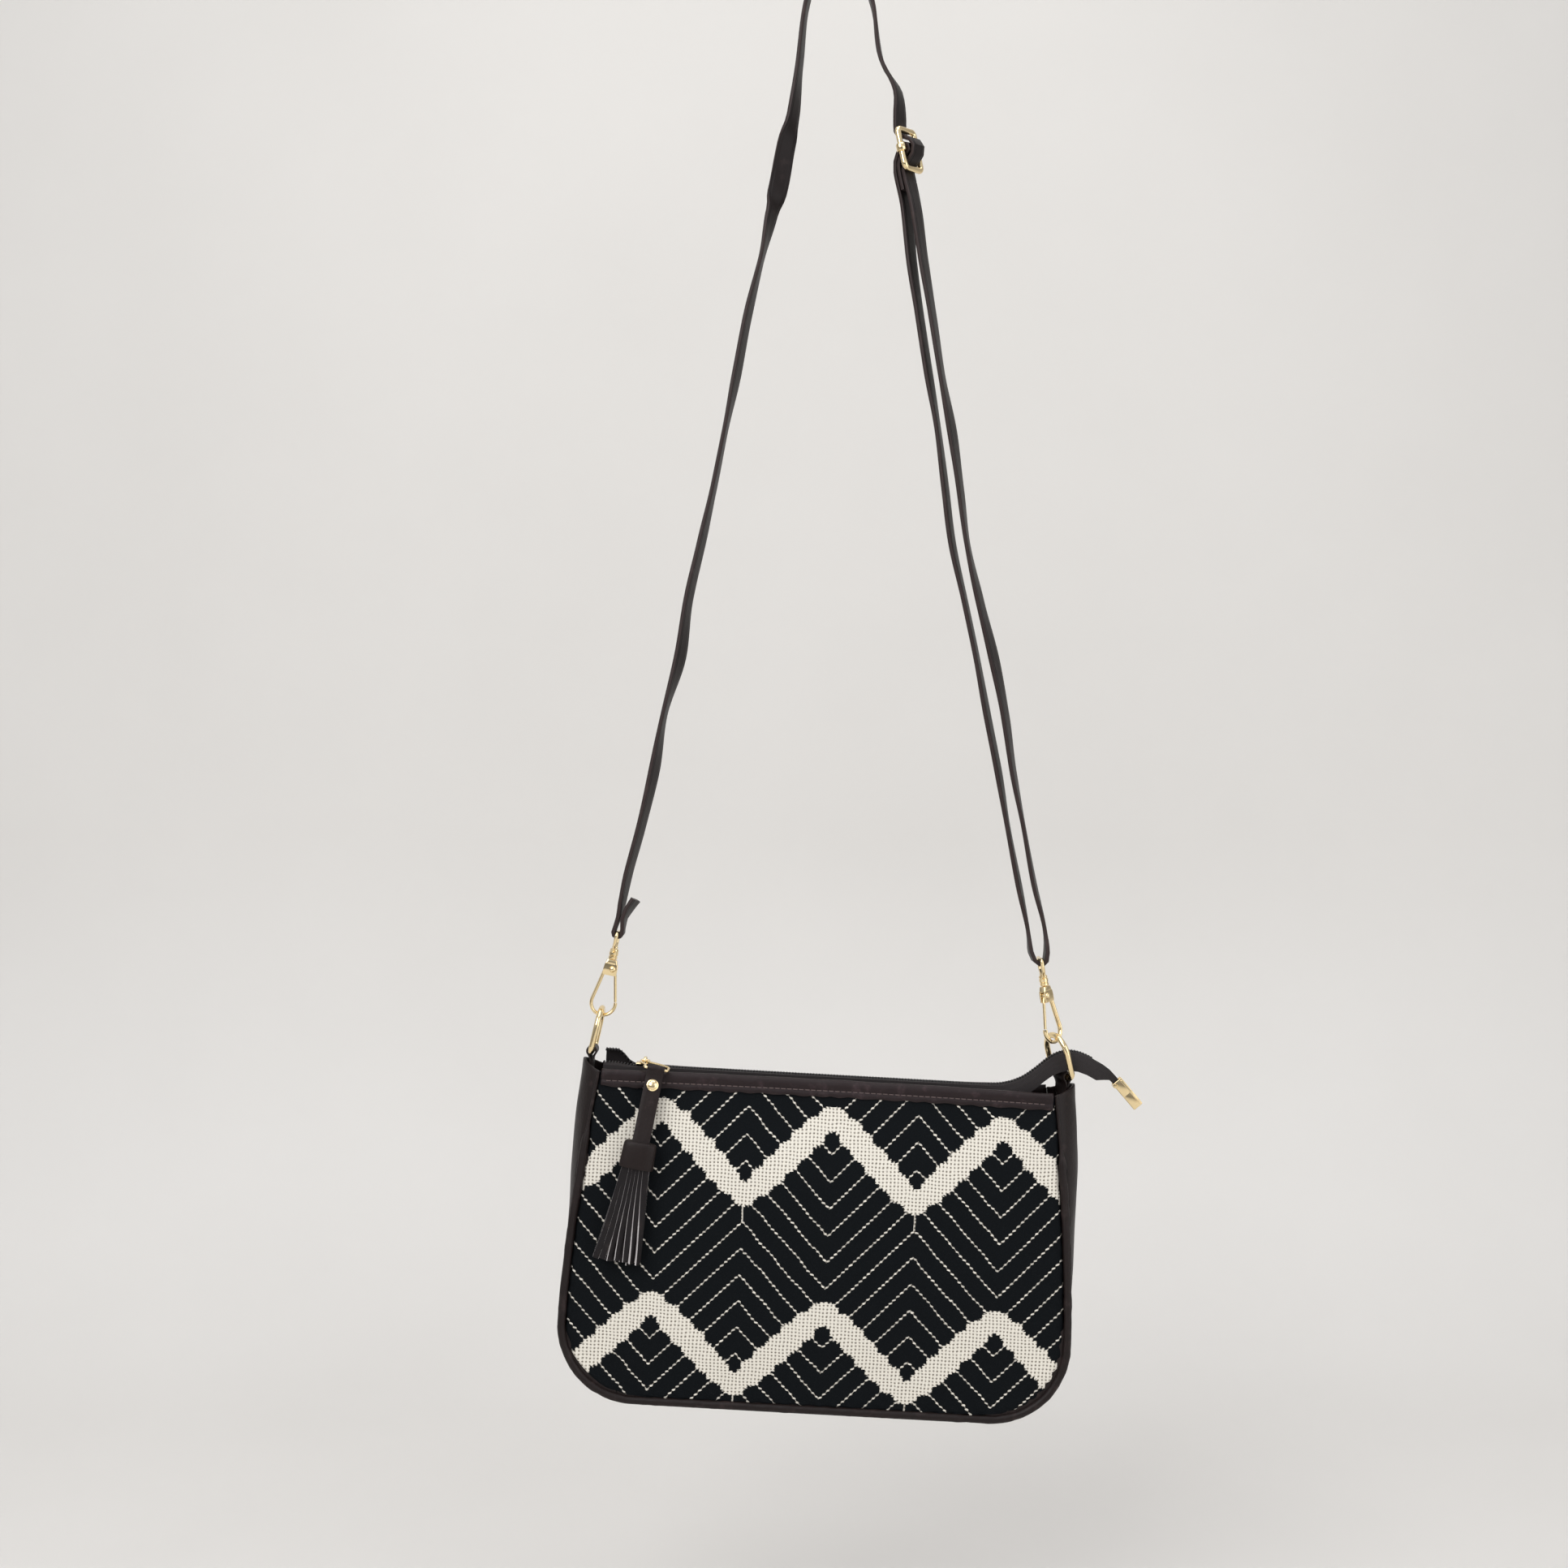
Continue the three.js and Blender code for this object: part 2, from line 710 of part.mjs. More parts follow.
// The strips of the fringe, one cut piece held by its roll inside the cap
function fringe() {
  const roll = loft([
    ellipse(capWidth / 2 - 1 - gap, capDepth / 2 - 1 - gap, -5),
    ellipse(capWidth / 2 - 1 - gap, capDepth / 2 - 1 - gap, -capHeight - 1),
  ]);
  const strip = (row, i, count) => {
    const f = (i + 0.5) / count - 0.5;
    const [top, low] = [f * (capWidth - 7), f * fringeWidth];
    const half = fringeWidth / count / 2 - 0.25;
    const y = row * 1.7;
    const end = -capHeight - fringeLength + ((i * 7 + row * 3 + 9) % 4) * 0.9;
    const ringAt = (x, w, out, z) => [
      new V3(x - w, out - 0.6, z),
      new V3(x + w, out - 0.6, z),
      new V3(x + w, out + 0.6, z),
      new V3(x - w, out + 0.6, z),
    ];
    return loft([
      ringAt(top, half * 0.62, y * 0.7, -capHeight + 3),
      ringAt(lerp(top, low, 0.5), half * 0.9, y * 1.1, -capHeight - fringeLength * 0.45),
      ringAt(low, half, y * 1.3, end),
    ]);
  };
  const rows = [
    [-1, 6],
    [0, 5],
    [1, 6],
  ];
  const strips = rows.flatMap(([row, n]) => Array.from({ length: n }, (_, i) => strip(row, i, n)));
  return united(roll, ...strips);
}

// Ring tabs: leather round the ring's bar, legs sewn inside the gusset's hem
const tabX = (side, turn) => {
  const bulge = side < 0 ? leftBulge : rightBulge;
  return side * (mouthHalfWidth + bulge * 0.8 + 0.4 - gap - tabLeather - turn / 14);
};
function tab(turn) {
  const geometry = foldedStrip(ringWire, tabLeather, tabLegs, tabWidth);
  const p = geometry.attributes.position;
  const point = new V3();
  for (let i = 0; i < p.count; i++) {
    point.fromBufferAttribute(p, i);
    if (point.z > 1 - tabLegs) point.applyAxisAngle(UP, rad(turn));
    p.setXYZ(i, point.x, point.y, point.z);
  }
  return geometry;
}

// A ring with a straight bar in the tab and a round top, its origin on the bar
function ring() {
  const w = ringHalfWidth;
  const outline = [
    ...arc(-w + 3, 3, 3, 270, 180, 3),
    ...arc(0, ringHeight - w, w, 180, 0, 12),
    ...arc(w - 3, 3, 3, 0, -90, 3),
  ];
  const points = outline.map(([y, z]) => new V3(0, y, z));
  return wire(points, new V3(1, 0, 0), ringWire, ringWire, true);
}

// Snap hook, its origin at the bottom of the bow's wire, the gate on the +X side
function hookBody() {
  const t = rad(bowTaper);
  const tangent = [bowRadius * Math.cos(t), bowRadius * (1 + Math.sin(t))];
  const rise = pivotRise - 2 - tangent[1];
  const bow = [
    [-tangent[0] + rise * Math.tan(t), tangent[1] + rise],
    ...arc(0, bowRadius, bowRadius, 180 - bowTaper, 360 + bowTaper, 14),
  ];
  const points = bow.map(([x, z]) => new V3(x, 0, z));
  const arm = wire(points, new V3(0, 1, 0), bowWire, bowDepth, false);
  const plate = new THREE.Shape();
  plate.moveTo(-3.6, pivotRise - 3);
  plate.lineTo(3.5, pivotRise - 3);
  plate.lineTo(3.3, pivotRise + 1);
  plate.lineTo(2.5, headTop);
  plate.lineTo(-2.5, headTop);
  const head = new THREE.ExtrudeGeometry(plate, { depth: 3.6, bevelEnabled: false })
    .translate(0, 0, -1.8)
    .rotateX(Math.PI / 2);
  const stud = rod(new V3(0, 0, headTop - 0.5), new V3(0, 0, headTop + 6.6), 0.95, 10);
  const studHead = rod(new V3(0, 0, headTop + 5.9), new V3(0, 0, headTop + 6.9), 1.6, 10);
  const slot = box(-1.4, 6, -1, 1, pivotRise - 5, pivotRise + 2.2);
  const bore = rod(new V3(gateX, -4, pivotRise), new V3(gateX, 4, pivotRise), 1.05, 12);
  return cut(united(arm, head, stud, studHead), slot, bore);
}
const gateX = 1.2;
const gateFoot = bowRadius * (1 + Math.sin(rad(bowTaper))) + gap;

function hookGate() {
  const foot = bowRadius * Math.cos(rad(bowTaper)) - 0.1;
  const lean = Math.tan(rad(bowTaper));
  const bend = pivotRise - 3.4;
  const points = [
    new V3(foot, 0, gateFoot),
    new V3(foot - (bend - gateFoot) * lean, 0, bend),
    new V3(gateX + 0.4, 0, pivotRise + 0.2),
  ];
  const bar = wire(points, new V3(0, 1, 0), 0.75, 0.7, false);
  const knuckle = rod(new V3(gateX, -0.7, pivotRise), new V3(gateX, 0.7, pivotRise), 1.75, 12);
  const bore = rod(new V3(gateX, -2, pivotRise), new V3(gateX, 2, pivotRise), 1.05, 12);
  return cut(united(bar, knuckle), bore);
}

const hookRivet = () => rivet(1.65, 1.65, 0.75, 2.1).translate(0, 0, 0);

// The eye and its collar, which the hook's stud turns in
function swivelEye() {
  const low = headTop + 4.6;
  const half = eyeHalfWidth;
  const outline = [
    [-1.7, low],
    [-half + 0.6, low + 3.6],
    ...arc(-half + 1.5, hookRise - 1.5, 1.5, 180, 90, 3),
    ...arc(half - 1.5, hookRise - 1.5, 1.5, 90, 0, 3),
    [half - 0.6, low + 3.6],
    [1.7, low],
  ];
  const points = outline.map(([y, z]) => new V3(0, y, z));
  const loop = wire(points, new V3(1, 0, 0), eyeWire, eyeWire, false);
  const collar = rod(new V3(0, 0, headTop + 0.3), new V3(0, 0, headTop + 5.6), 2.2, 14);
  const bore = rod(new V3(0, 0, headTop), new V3(0, 0, headTop + 7.5), 1.25, 12);
  return cut(united(loop, collar), bore);
}

add(bag, "lining", lining(), plainCloth);
add(bag, "zip_tape_front", zipTape(-1), tapeCloth);
add(bag, "zip_tape_back", zipTape(1), tapeCloth);
add(bag, "zip_coil_front", zipCoil(-1), tapeCloth);
add(bag, "zip_coil_back", zipCoil(1), tapeCloth);
add(bag, "zip_end_clip", endClip(), gold);
add(slider, "zip_slider", zipSlider(), gold);
add(puller, "zip_puller", pullerLoop(), gold);
add(pull, "pull_strap", pullStrap(), darkLeather);
const stud = add(
  pull,
  "pull_rivet",
  rivet(rivetRadius, 2.2, 1, pullLeather + gap / 2).rotateX(Math.PI),
  gold,
);
stud.position.set(0, -rivetDrop * Math.sin(rad(pullSlope)), -rivetDrop * Math.cos(rad(pullSlope)));
stud.rotation.x = -rad(pullSlope);
const tassel = new THREE.Group();
tassel.position.copy(capTop);
tassel.rotation.x = -rad(tasselSlope);
pull.add(tassel);
add(tassel, "tassel_cap", tasselCap(), darkLeather);
add(tassel, "tassel_fringe", fringe(), suede);

// Each side: tab and ring on the bag, hook and eye between the ring and the strap
const eyeBars = {};
for (const [name, side, ringLean, ringTurn, hookLean, hookTurn] of [
  ["left", -1, leftRingLean, 0, leftHookLean, 0],
  ["right", 1, -rightRingLean, rightRingTurn, rightHookLean, rightHookTurn],
]) {
  const seat = new THREE.Group();
  seat.position.set(tabX(side, ringTurn), 0, barLevel);
  bag.add(seat);
  add(seat, name + "_ring_tab", tab(ringTurn), darkLeather);
  const hung = new THREE.Group();
  hung.rotation.set(0, rad(ringLean), rad(ringTurn), "ZYX");
  seat.add(hung);
  add(hung, name + "_ring", ring(), gold);

  // the bow's wire hangs under the ring's top
  bag.updateMatrixWorld(true);
  const top = hung.localToWorld(new V3(0, 0, ringHeight));
  const up = new V3(Math.sin(rad(hookLean)), 0, Math.cos(rad(hookLean)));
  const bow = top.clone().addScaledVector(up, -(ringWire + bowWire + ringPlay));
  const hook = new THREE.Group();
  hook.position.copy(bow);
  hook.rotation.set(0, rad(hookLean), rad(hookTurn), "YZX");
  part.add(hook);
  add(hook, name + "_hook_body", hookBody(), gold);
  add(hook, name + "_hook_gate", hookGate(), gold);
  add(hook, name + "_hook_rivet", hookRivet(), gold).position.set(gateX, 0, pivotRise);
  const eye = add(part, name + "_swivel_eye", swivelEye(), gold);
  eye.position.copy(bow);
  eye.rotation.y = rad(hookLean);
  eyeBars[name] = { up, at: bow.clone().addScaledVector(up, hookRise) };
}

// Frame of the adjuster: down the strap, along its bars, and out of its front
const down = new V3(Math.sin(rad(adjusterLean)), 0, -Math.cos(rad(adjusterLean)));
const barWay = new V3(Math.cos(rad(adjusterTurn)), Math.sin(rad(adjusterTurn)), 0);
barWay.addScaledVector(down, -barWay.dot(down)).normalize();
const frontWay = barWay.clone().cross(down).normalize();
if (frontWay.y > 0) frontWay.negate();
const atAdjuster = (along, out, across = 0) =>
  adjusterCentre
    .clone()
    .addScaledVector(down, along)
    .addScaledVector(frontWay, out)
    .addScaledVector(barWay, across);

function adjusterFrame() {
  const [h, w, r] = [adjusterHalfHeight, adjusterHalfWidth, 2.2];
  const outline = [
    ...arc(-w + r, h - r, r, 180, 90, 3),
    ...arc(w - r, h - r, r, 90, 0, 3),
    ...arc(w - r, -h + r, r, 0, -90, 3),
    ...arc(-w + r, -h + r, r, 270, 180, 3),
  ];
  const points = outline.map(([across, along]) => atAdjuster(along, 0, across));
  return wire(points, frontWay, adjusterWire, adjusterWire, true);
}

// The bar across the frame, its ends crimped round the frame's sides
const centreBar = 1.2;
function adjusterBar() {
  const w = adjusterHalfWidth;
  const bar = rod(atAdjuster(0, 0, -w), atAdjuster(0, 0, w), centreBar, 10);
  const collars = [-w, w].map((across) =>
    rod(atAdjuster(-1.7, 0, across), atAdjuster(1.7, 0, across), adjusterWire + 0.85, 10),
  );
  const bores = [-w, w].map((across) =>
    rod(atAdjuster(-4, 0, across), atAdjuster(4, 0, across), adjusterWire + gap, 12),
  );
  return cut(united(bar, ...collars), ...bores);
}
add(part, "adjuster_frame", adjusterFrame(), gold);
add(part, "adjuster_bar", adjusterBar(), gold);

// The strap, one strip from its sewn end at the left hook over the crest, through the
// adjuster, round the right eye and back to the adjuster's bar. The last number of a
// point is the turn of its width: 0 is face on, 90 is edge on.
function strapKeys() {
  const { at: left, up } = eyeBars.left;
  const right = eyeBars.right.at;
  const loop = eyeWire + gap + strapThickness / 2;
  const nearLeft = (across, along) =>
    left
      .clone()
      .addScaledVector(up, along)
      .add(new V3(up.z, 0, -up.x).multiplyScalar(across));
  const facing = (turn) => new V3(Math.cos(rad(turn)), Math.sin(rad(turn)), 0);
  const plane = (points) => points.map(([x, z, turn]) => [new V3(x, 0, z), facing(turn)]);
  const shift = (p, turn) => [p, facing(turn)];
  return [
    shift(nearLeft(5.2, 18), 85),
    shift(nearLeft(2.8, 12.5), 88),
    shift(nearLeft(1.4, 7.5), 90),
    shift(nearLeft(1.9, 2.5), 90),
    shift(nearLeft(loop, 0), 90),
    shift(nearLeft(loop * 0.7, -loop * 0.7), 90),
    shift(nearLeft(0, -loop), 90),
    shift(nearLeft(-loop * 0.7, -loop * 0.7), 90),
    shift(nearLeft(-loop, 0), 90),
    shift(nearLeft(-1.9, 2.5), 90),
    shift(nearLeft(-1.3, 8), 88),
    shift(nearLeft(-1.2, 15), 80),
    ...plane([
      [-106.6, -456, 76],
      [-100.2, -432.5, 74],
      [-93.5, -403.8, 68],
      [-88.4, -375.1, 84],
      [-80.4, -346.4, 64],
      [-76.3, -317.8, 74],
      [-69.7, -289, 76],
      [-63.3, -260.3, 84],
      [-57.6, -231.6, 86],
      [-51.7, -202.9, 74],
      [-46.3, -174.2, 76],
      [-39.4, -145.5, 86],
      [-34, -122, 62],
      [-30.6, -108.6, 8],
      [-26.8, -88.1, 26],
      [-23.4, -73.8, 60],
      [-19.9, -45.1, 78],
      [-16.4, -16.4, 84],
      [-11.6, -4.2, 90],
      [0, 1, 90],
      [11.6, -4.2, 90],
      [16.8, -16.4, 86],
      [21.3, -45.1, 78],
    ]),
    [atAdjuster(-30, 0.5), facing(64)],
    [atAdjuster(-17, -1.6), facing(54)],
    ...[
      [-10, -3.1],
      [-7.9, -2.3],
      [-6, 0.6],
      [-3.6, 3.9],
      [0, 5.3],
      [3.6, 3.9],
      [6, 0.6],
      [7.9, -2.3],
      [10, -3.3],
      [15, -3.3],
    ].map(([along, out]) => [atAdjuster(along, out), barWay]),
    ...plane([
      [38.6, -119, 56],
      [42.4, -145.5, 62],
      [47.1, -174.2, 68],
      [51.5, -202.9, 72],
      [56.8, -231.6, 62],
      [60.9, -260.3, 70],
      [64.6, -289, 76],
      [70.9, -317.8, 66],
      [77.9, -346.4, 58],
      [83.6, -375.1, 66],
      [87.7, -403.8, 72],
      [93.1, -432.5, 80],
      [98.4, -461.2, 76],
      [103.6, -483, 82],
    ]),
    shift(right.clone().add(new V3(3.4, 0, 3)), 90),
    shift(right.clone().add(new V3(2.9, 0, -0.8)), 90),
    shift(right.clone().add(new V3(1.5, 0, -2.2)), 90),
    shift(right.clone().add(new V3(-0.6, 0, -2.4)), 90),
    shift(right.clone().add(new V3(-2.9, 0, -0.6)), 90),
    shift(right.clone().add(new V3(-4.6, 0, 3.4)), 90),
    ...plane([
      [95.2, -484, 82],
      [90.6, -461.2, 74],
      [85.1, -432.5, 78],
      [80.2, -403.8, 70],
      [74.6, -375.1, 70],
      [69.3, -346.4, 74],
      [63.3, -317.8, 74],
      [57, -289, 70],
      [53.4, -260.3, 70],
      [49.8, -231.6, 74],
      [45, -202.9, 66],
      [40.6, -174.2, 66],
      [36.4, -145.5, 60],
    ]),
    ...[
      [26, -8.2],
      [15, -8.2],
      [9, -8.1],
      [4, -6.8],
      [1, -4.7],
      [-1.35, -2.35],
      [-2.7, 0],
      [-1.35, 2.35],
      [1.35, 2.35],
      [2.7, 0],
      [1.95, -1.95],
      [3.7, -3.9],
      [6.2, -5.3],
      [10, -5.75],
      [19, -5.75],
    ].map(([along, out]) => [atAdjuster(along, out), barWay]),
  ];
}

function strap() {
  const keys = strapKeys();
  const curve = new THREE.CatmullRomCurve3(keys.map(([p]) => p), false, "centripetal");
  const stations = keys.flatMap(([p, side], i) => {
    if (i === keys.length - 1) return [[i, side]];
    const [next, nextSide] = keys[i + 1];
    const steps = p.distanceTo(next) > 16 ? 2 : 1;
    return Array.from({ length: steps }, (_, k) => [
      i + k / steps,
      side.clone().lerp(nextSide, k / steps),
    ]);
  });
  const [w, t, soft] = [strapWidth / 2, strapThickness / 2, 0.45];
  const section = [
    [w, t - soft],
    [w - soft, t],
    [soft - w, t],
    [-w, t - soft],
    [-w, soft - t],
    [soft - w, -t],
    [w - soft, -t],
    [w, soft - t],
  ];
  const rings = stations.map(([at, side]) => {
    const u = at / (keys.length - 1);
    const p = curve.getPoint(u);
    const along = curve.getTangent(u);
    const wide = side.clone().addScaledVector(along, -side.dot(along)).normalize();
    const thick = along.clone().cross(wide).normalize();
    return section.map(([a, b]) => p.clone().addScaledVector(wide, a).addScaledVector(thick, b));
  });
  return loft(rings);
}
add(part, "strap", strap(), darkLeather);

export default part;
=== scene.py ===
from math import cos, pi, radians, sin, sqrt

import bmesh
import bpy
from mathutils import Matrix, Vector, noise


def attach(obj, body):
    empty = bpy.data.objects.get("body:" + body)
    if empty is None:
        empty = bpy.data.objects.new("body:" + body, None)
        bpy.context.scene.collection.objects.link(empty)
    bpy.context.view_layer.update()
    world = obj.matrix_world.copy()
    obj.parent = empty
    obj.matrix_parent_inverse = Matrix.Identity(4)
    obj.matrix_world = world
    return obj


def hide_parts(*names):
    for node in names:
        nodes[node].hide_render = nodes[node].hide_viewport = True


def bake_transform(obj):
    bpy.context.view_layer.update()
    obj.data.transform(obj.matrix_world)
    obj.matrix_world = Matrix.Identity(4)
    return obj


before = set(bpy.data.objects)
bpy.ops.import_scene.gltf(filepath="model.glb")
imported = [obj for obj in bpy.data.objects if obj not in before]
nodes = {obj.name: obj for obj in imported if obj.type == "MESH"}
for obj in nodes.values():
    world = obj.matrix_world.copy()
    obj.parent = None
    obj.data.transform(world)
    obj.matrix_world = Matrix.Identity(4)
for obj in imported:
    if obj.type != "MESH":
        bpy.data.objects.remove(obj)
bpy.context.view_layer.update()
print("frame loaded", len(nodes), "nodes")

# The bag hangs a little low on the right; sizes below are in millimetres in its own frame
bag = {
    "tilt": 3.15,
    "mouthMiddle": (-6.2, 0.0, -558.3),
    "mouthHalfWidth": 113.8,
    "baseHalfWidth": 124.8,
    "height": 161.0,
    "cornerRadius": 37.0,
    "mouthEndHalfDepth": 13.0,
    "mouthMidHalfDepth": 7.6,
    "baseHalfDepth": 20.0,
    "crown": 4.0,
    "pipingRadius": 2.0,
    "pipingThin": 0.8,
    "pipingStart": 32.0,
    "leftBulge": 7.5,
    "rightBulge": 9.5,
    "baseBulge": 3.0,
}
bagFrame = Matrix.Translation(bag["mouthMiddle"]) @ Matrix.Rotation(radians(bag["tilt"]), 4, "Y")
cornerTop = bag["cornerRadius"] - bag["height"]


def clamp(x, low=0.0, high=1.0):
    return max(low, min(high, x))


def mix(a, b, t):
    return a + (b - a) * t


def smooth(x, low, high):
    t = clamp((x - low) / (high - low))
    return t * t * (3 - 2 * t)


def wobble(x, y, z, size, seed=0.0):
    return noise.noise(Vector((x / size + seed, y / size, z / size)))


def inBag(x, y, z):
    return (bagFrame @ Vector((x, y, z))) * 0.001


def halfWidthAt(z):
    if z < cornerTop:
        drop = clamp((cornerTop - z) / bag["cornerRadius"])
        return bag["baseHalfWidth"] - bag["cornerRadius"] * (1 - sqrt(1 - drop * drop))
    q = clamp(z / cornerTop)
    return mix(bag["mouthHalfWidth"], bag["baseHalfWidth"], 1 - (1 - q) ** 1.6)


def rimHalfDepthAt(z):
    return mix(bag["mouthEndHalfDepth"], bag["baseHalfDepth"], sin(pi / 2 * clamp(-z / 130)))


def halfDepthAt(x, z):
    pinch = (bag["mouthEndHalfDepth"] - bag["mouthMidHalfDepth"]) * (1 - smooth(-z, 0, 55))
    swell = bag["crown"] * sin(pi * clamp(-z / bag["height"])) - pinch
    across = clamp(abs(x) / halfWidthAt(z))
    return rimHalfDepthAt(z) + swell * (1 - across * across)


def pipingRadiusAt(z):
    start = bag["pipingStart"]
    return mix(bag["pipingThin"], bag["pipingRadius"], smooth(-z, start - 6, start + 4))


# Making pieces


def finishPiece(bm, name, body, material, replaced=(), autoSmooth=40):
    bmesh.ops.recalc_face_normals(bm, faces=bm.faces[:])
    mesh = bpy.data.meshes.new(name)
    bm.to_mesh(mesh)
    bm.free()
    for polygon in mesh.polygons:
        polygon.use_smooth = True
    mesh.set_sharp_from_angle(angle=radians(autoSmooth))
    piece = bpy.data.objects.new(name, mesh)
    bpy.context.scene.collection.objects.link(piece)
    for each in material if isinstance(material, (list, tuple)) else [material]:
        mesh.materials.append(each)
    if body:
        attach(piece, body)
    if replaced:
        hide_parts(*replaced)
    return piece


# A grid laid over a surface: place gets 0..1 along and 0..1 across, uvScale sizes its UV map
def laidGrid(columns, rows, place, uvScale=(1.0, 1.0), wrap=False):
    bm = bmesh.new()
    bmesh.ops.create_grid(bm, x_segments=columns, y_segments=rows, size=0.5)
    uvLayer = bm.loops.layers.uv.new("surface")
    for face in bm.faces:
        for loop in face.loops:
            along, across = loop.vert.co.x + 0.5, loop.vert.co.y + 0.5
            loop[uvLayer].uv = (along * uvScale[0], across * uvScale[1])
    for vert in bm.verts:
        vert.co = place(vert.co.x + 0.5, vert.co.y + 0.5)
    if wrap:
        bmesh.ops.remove_doubles(bm, verts=bm.verts[:], dist=1e-6)
        holes = [e for e in bm.edges if e.is_boundary]
        if holes:
            bmesh.ops.holes_fill(bm, edges=holes, sides=0)
    return bm


def thicken(piece, thickness, edge=0.0):
    wall = piece.modifiers.new("wall", "SOLIDIFY")
    wall.thickness = thickness
    wall.offset = -1.0
    if edge:
        softened = piece.modifiers.new("edge", "BEVEL")
        softened.width = edge
        softened.segments = 2
        softened.limit_method = "ANGLE"
        softened.angle_limit = radians(50)


# A point t of the way from b to c on an evenly weighted curve
def curveAt(a, b, c, d, t):
    squared, cubed = 2 * a - 5 * b + 4 * c - d, 3 * b - a - 3 * c + d
    return 0.5 * (2 * b + (c - a) * t + squared * t * t + cubed * t**3)


# A smooth line through points, as evenly spaced samples
def smoothLine(points, count, closed=False):
    pts = [Vector(p) for p in points]
    n = len(pts)
    fine = []
    spans = n if closed else n - 1
    for i in range(spans):
        if closed:
            a, b, c, d = (pts[(i + k - 1) % n] for k in range(4))
        else:
            a, b, c, d = pts[max(i - 1, 0)], pts[i], pts[i + 1], pts[min(i + 2, n - 1)]
        for k in range(12):
            t = k / 12
            fine.append(curveAt(a, b, c, d, t))
    fine.append(pts[0].copy() if closed else pts[-1].copy())
    lengths = [0.0]
    for a, b in zip(fine, fine[1:]):
        lengths.append(lengths[-1] + (b - a).length)
    result, k = [], 0
    total = count if closed else count - 1
    for i in range(count):
        want = lengths[-1] * i / total
        while k < len(lengths) - 2 and lengths[k + 1] < want:
            k += 1
        step = lengths[k + 1] - lengths[k]
        result.append(fine[k].lerp(fine[k + 1], (want - lengths[k]) / step if step else 0))
    return result


# A wire or cord of round or oval section along points
def tube(points, radius, sides=12, closed=False, flat=1.0, normal=None):
    n = len(points)
    frames, side = [], None
    for i, p in enumerate(points):
        before = points[i - 1] if closed or i else points[i]
        after = points[(i + 1) % n] if closed or i < n - 1 else points[i]
        along = (after - before).normalized()
        if normal is not None:
            side = normal.cross(along).normalized()
        elif side is None:
            side = along.cross(Vector((0.31, 0.17, 0.93))).normalized()
        else:
            side = (side - along * side.dot(along)).normalized()
        frames.append((p, side, along.cross(side).normalized()))
    spans = n if closed else n - 1

    def place(along, across):
        i = round(along * spans) % n
        p, a, b = frames[i]
        turn = across * 2 * pi
        return p + a * (radius * cos(turn)) + b * (radius * flat * sin(turn))

    return laidGrid(spans, sides, place, wrap=True)


def joined(*meshes):
    whole = bmesh.new()
    for each in meshes:
        copy = bpy.data.meshes.new("copy")
        each.to_mesh(copy)
        each.free()
        whole.from_mesh(copy)
        bpy.data.meshes.remove(copy)
    return whole


# Shader making
def newGroup(name, inputs, outputs):
    tree = bpy.data.node_groups.new(name, "ShaderNodeTree")
    for label, kind, value in inputs:
        socket = tree.interface.new_socket(name=label, in_out="INPUT", socket_type=kind)
        if value is not None:
            socket.default_value = value
    for label, kind in outputs:
        tree.interface.new_socket(name=label, in_out="OUTPUT", socket_type=kind)
    return tree, tree.nodes.new("NodeGroupInput"), tree.nodes.new("NodeGroupOutput")


def feed(tree, socket, source):
    if isinstance(source, bpy.types.NodeSocket):
        tree.links.new(source, socket)
    else:
        socket.default_value = source


def calc(tree, operation, *sources):
    node = tree.nodes.new("ShaderNodeMath")
    node.operation = operation
    for socket, source in zip(node.inputs, sources):
        feed(tree, socket, source)
    return node.outputs[0]


# Shorthand for sums in one material
def sumsIn(tree):
    return lambda operation, *sources: calc(tree, operation, *sources)


def stepBetween(tree, value, low, high):
    node = tree.nodes.new("ShaderNodeMapRange")
    node.interpolation_type = "SMOOTHSTEP"
    for socket, source in zip(node.inputs, (value, low, high, 0.0, 1.0)):
        feed(tree, socket, source)
    return node.outputs[0]


def blendColours(tree, amount, first, second):
    node = tree.nodes.new("ShaderNodeMix")
    node.data_type = "RGBA"
    feed(tree, node.inputs[0], amount)
    feed(tree, node.inputs[6], first)
    feed(tree, node.inputs[7], second)
    return node.outputs[2]


def noiseAt(tree, coordinates, scale, detail=3.0, roughness=0.55):
    node = tree.nodes.new("ShaderNodeTexNoise")
    tree.links.new(coordinates, node.inputs["Vector"])
    feed(tree, node.inputs["Scale"], scale)
    node.inputs["Detail"].default_value = detail
    node.inputs["Roughness"].default_value = roughness
    return node.outputs["Fac"]


def newMaterial(name, roughness=0.5, metallic=0.0):
    material = bpy.data.materials.new(name)
    material.use_nodes = True
    tree = material.node_tree
    shader = tree.nodes["Principled BSDF"]
    shader.inputs["Roughness"].default_value = roughness
    shader.inputs["Metallic"].default_value = metallic
    return material, tree, shader


def objectCoordinates(tree):
    return tree.nodes.new("ShaderNodeTexCoord").outputs["Object"]


def surfaceCoordinates(tree):
    node = tree.nodes.new("ShaderNodeUVMap")
    node.uv_map = "surface"
    return node.outputs["UV"]


# Joins a colour and a height, with its strength and depth in metres, to a new material
def finishMaterial(made, colour, height=None, strength=0.5, depth=0.0004):
    material, tree, shader = made
    tree.links.new(colour, shader.inputs["Base Color"])
    if height:
        node = tree.nodes.new("ShaderNodeBump")
        node.inputs["Strength"].default_value = strength
        node.inputs["Distance"].default_value = depth
        tree.links.new(height, node.inputs["Height"])
        tree.links.new(node.outputs["Normal"], shader.inputs["Normal"])
    return material


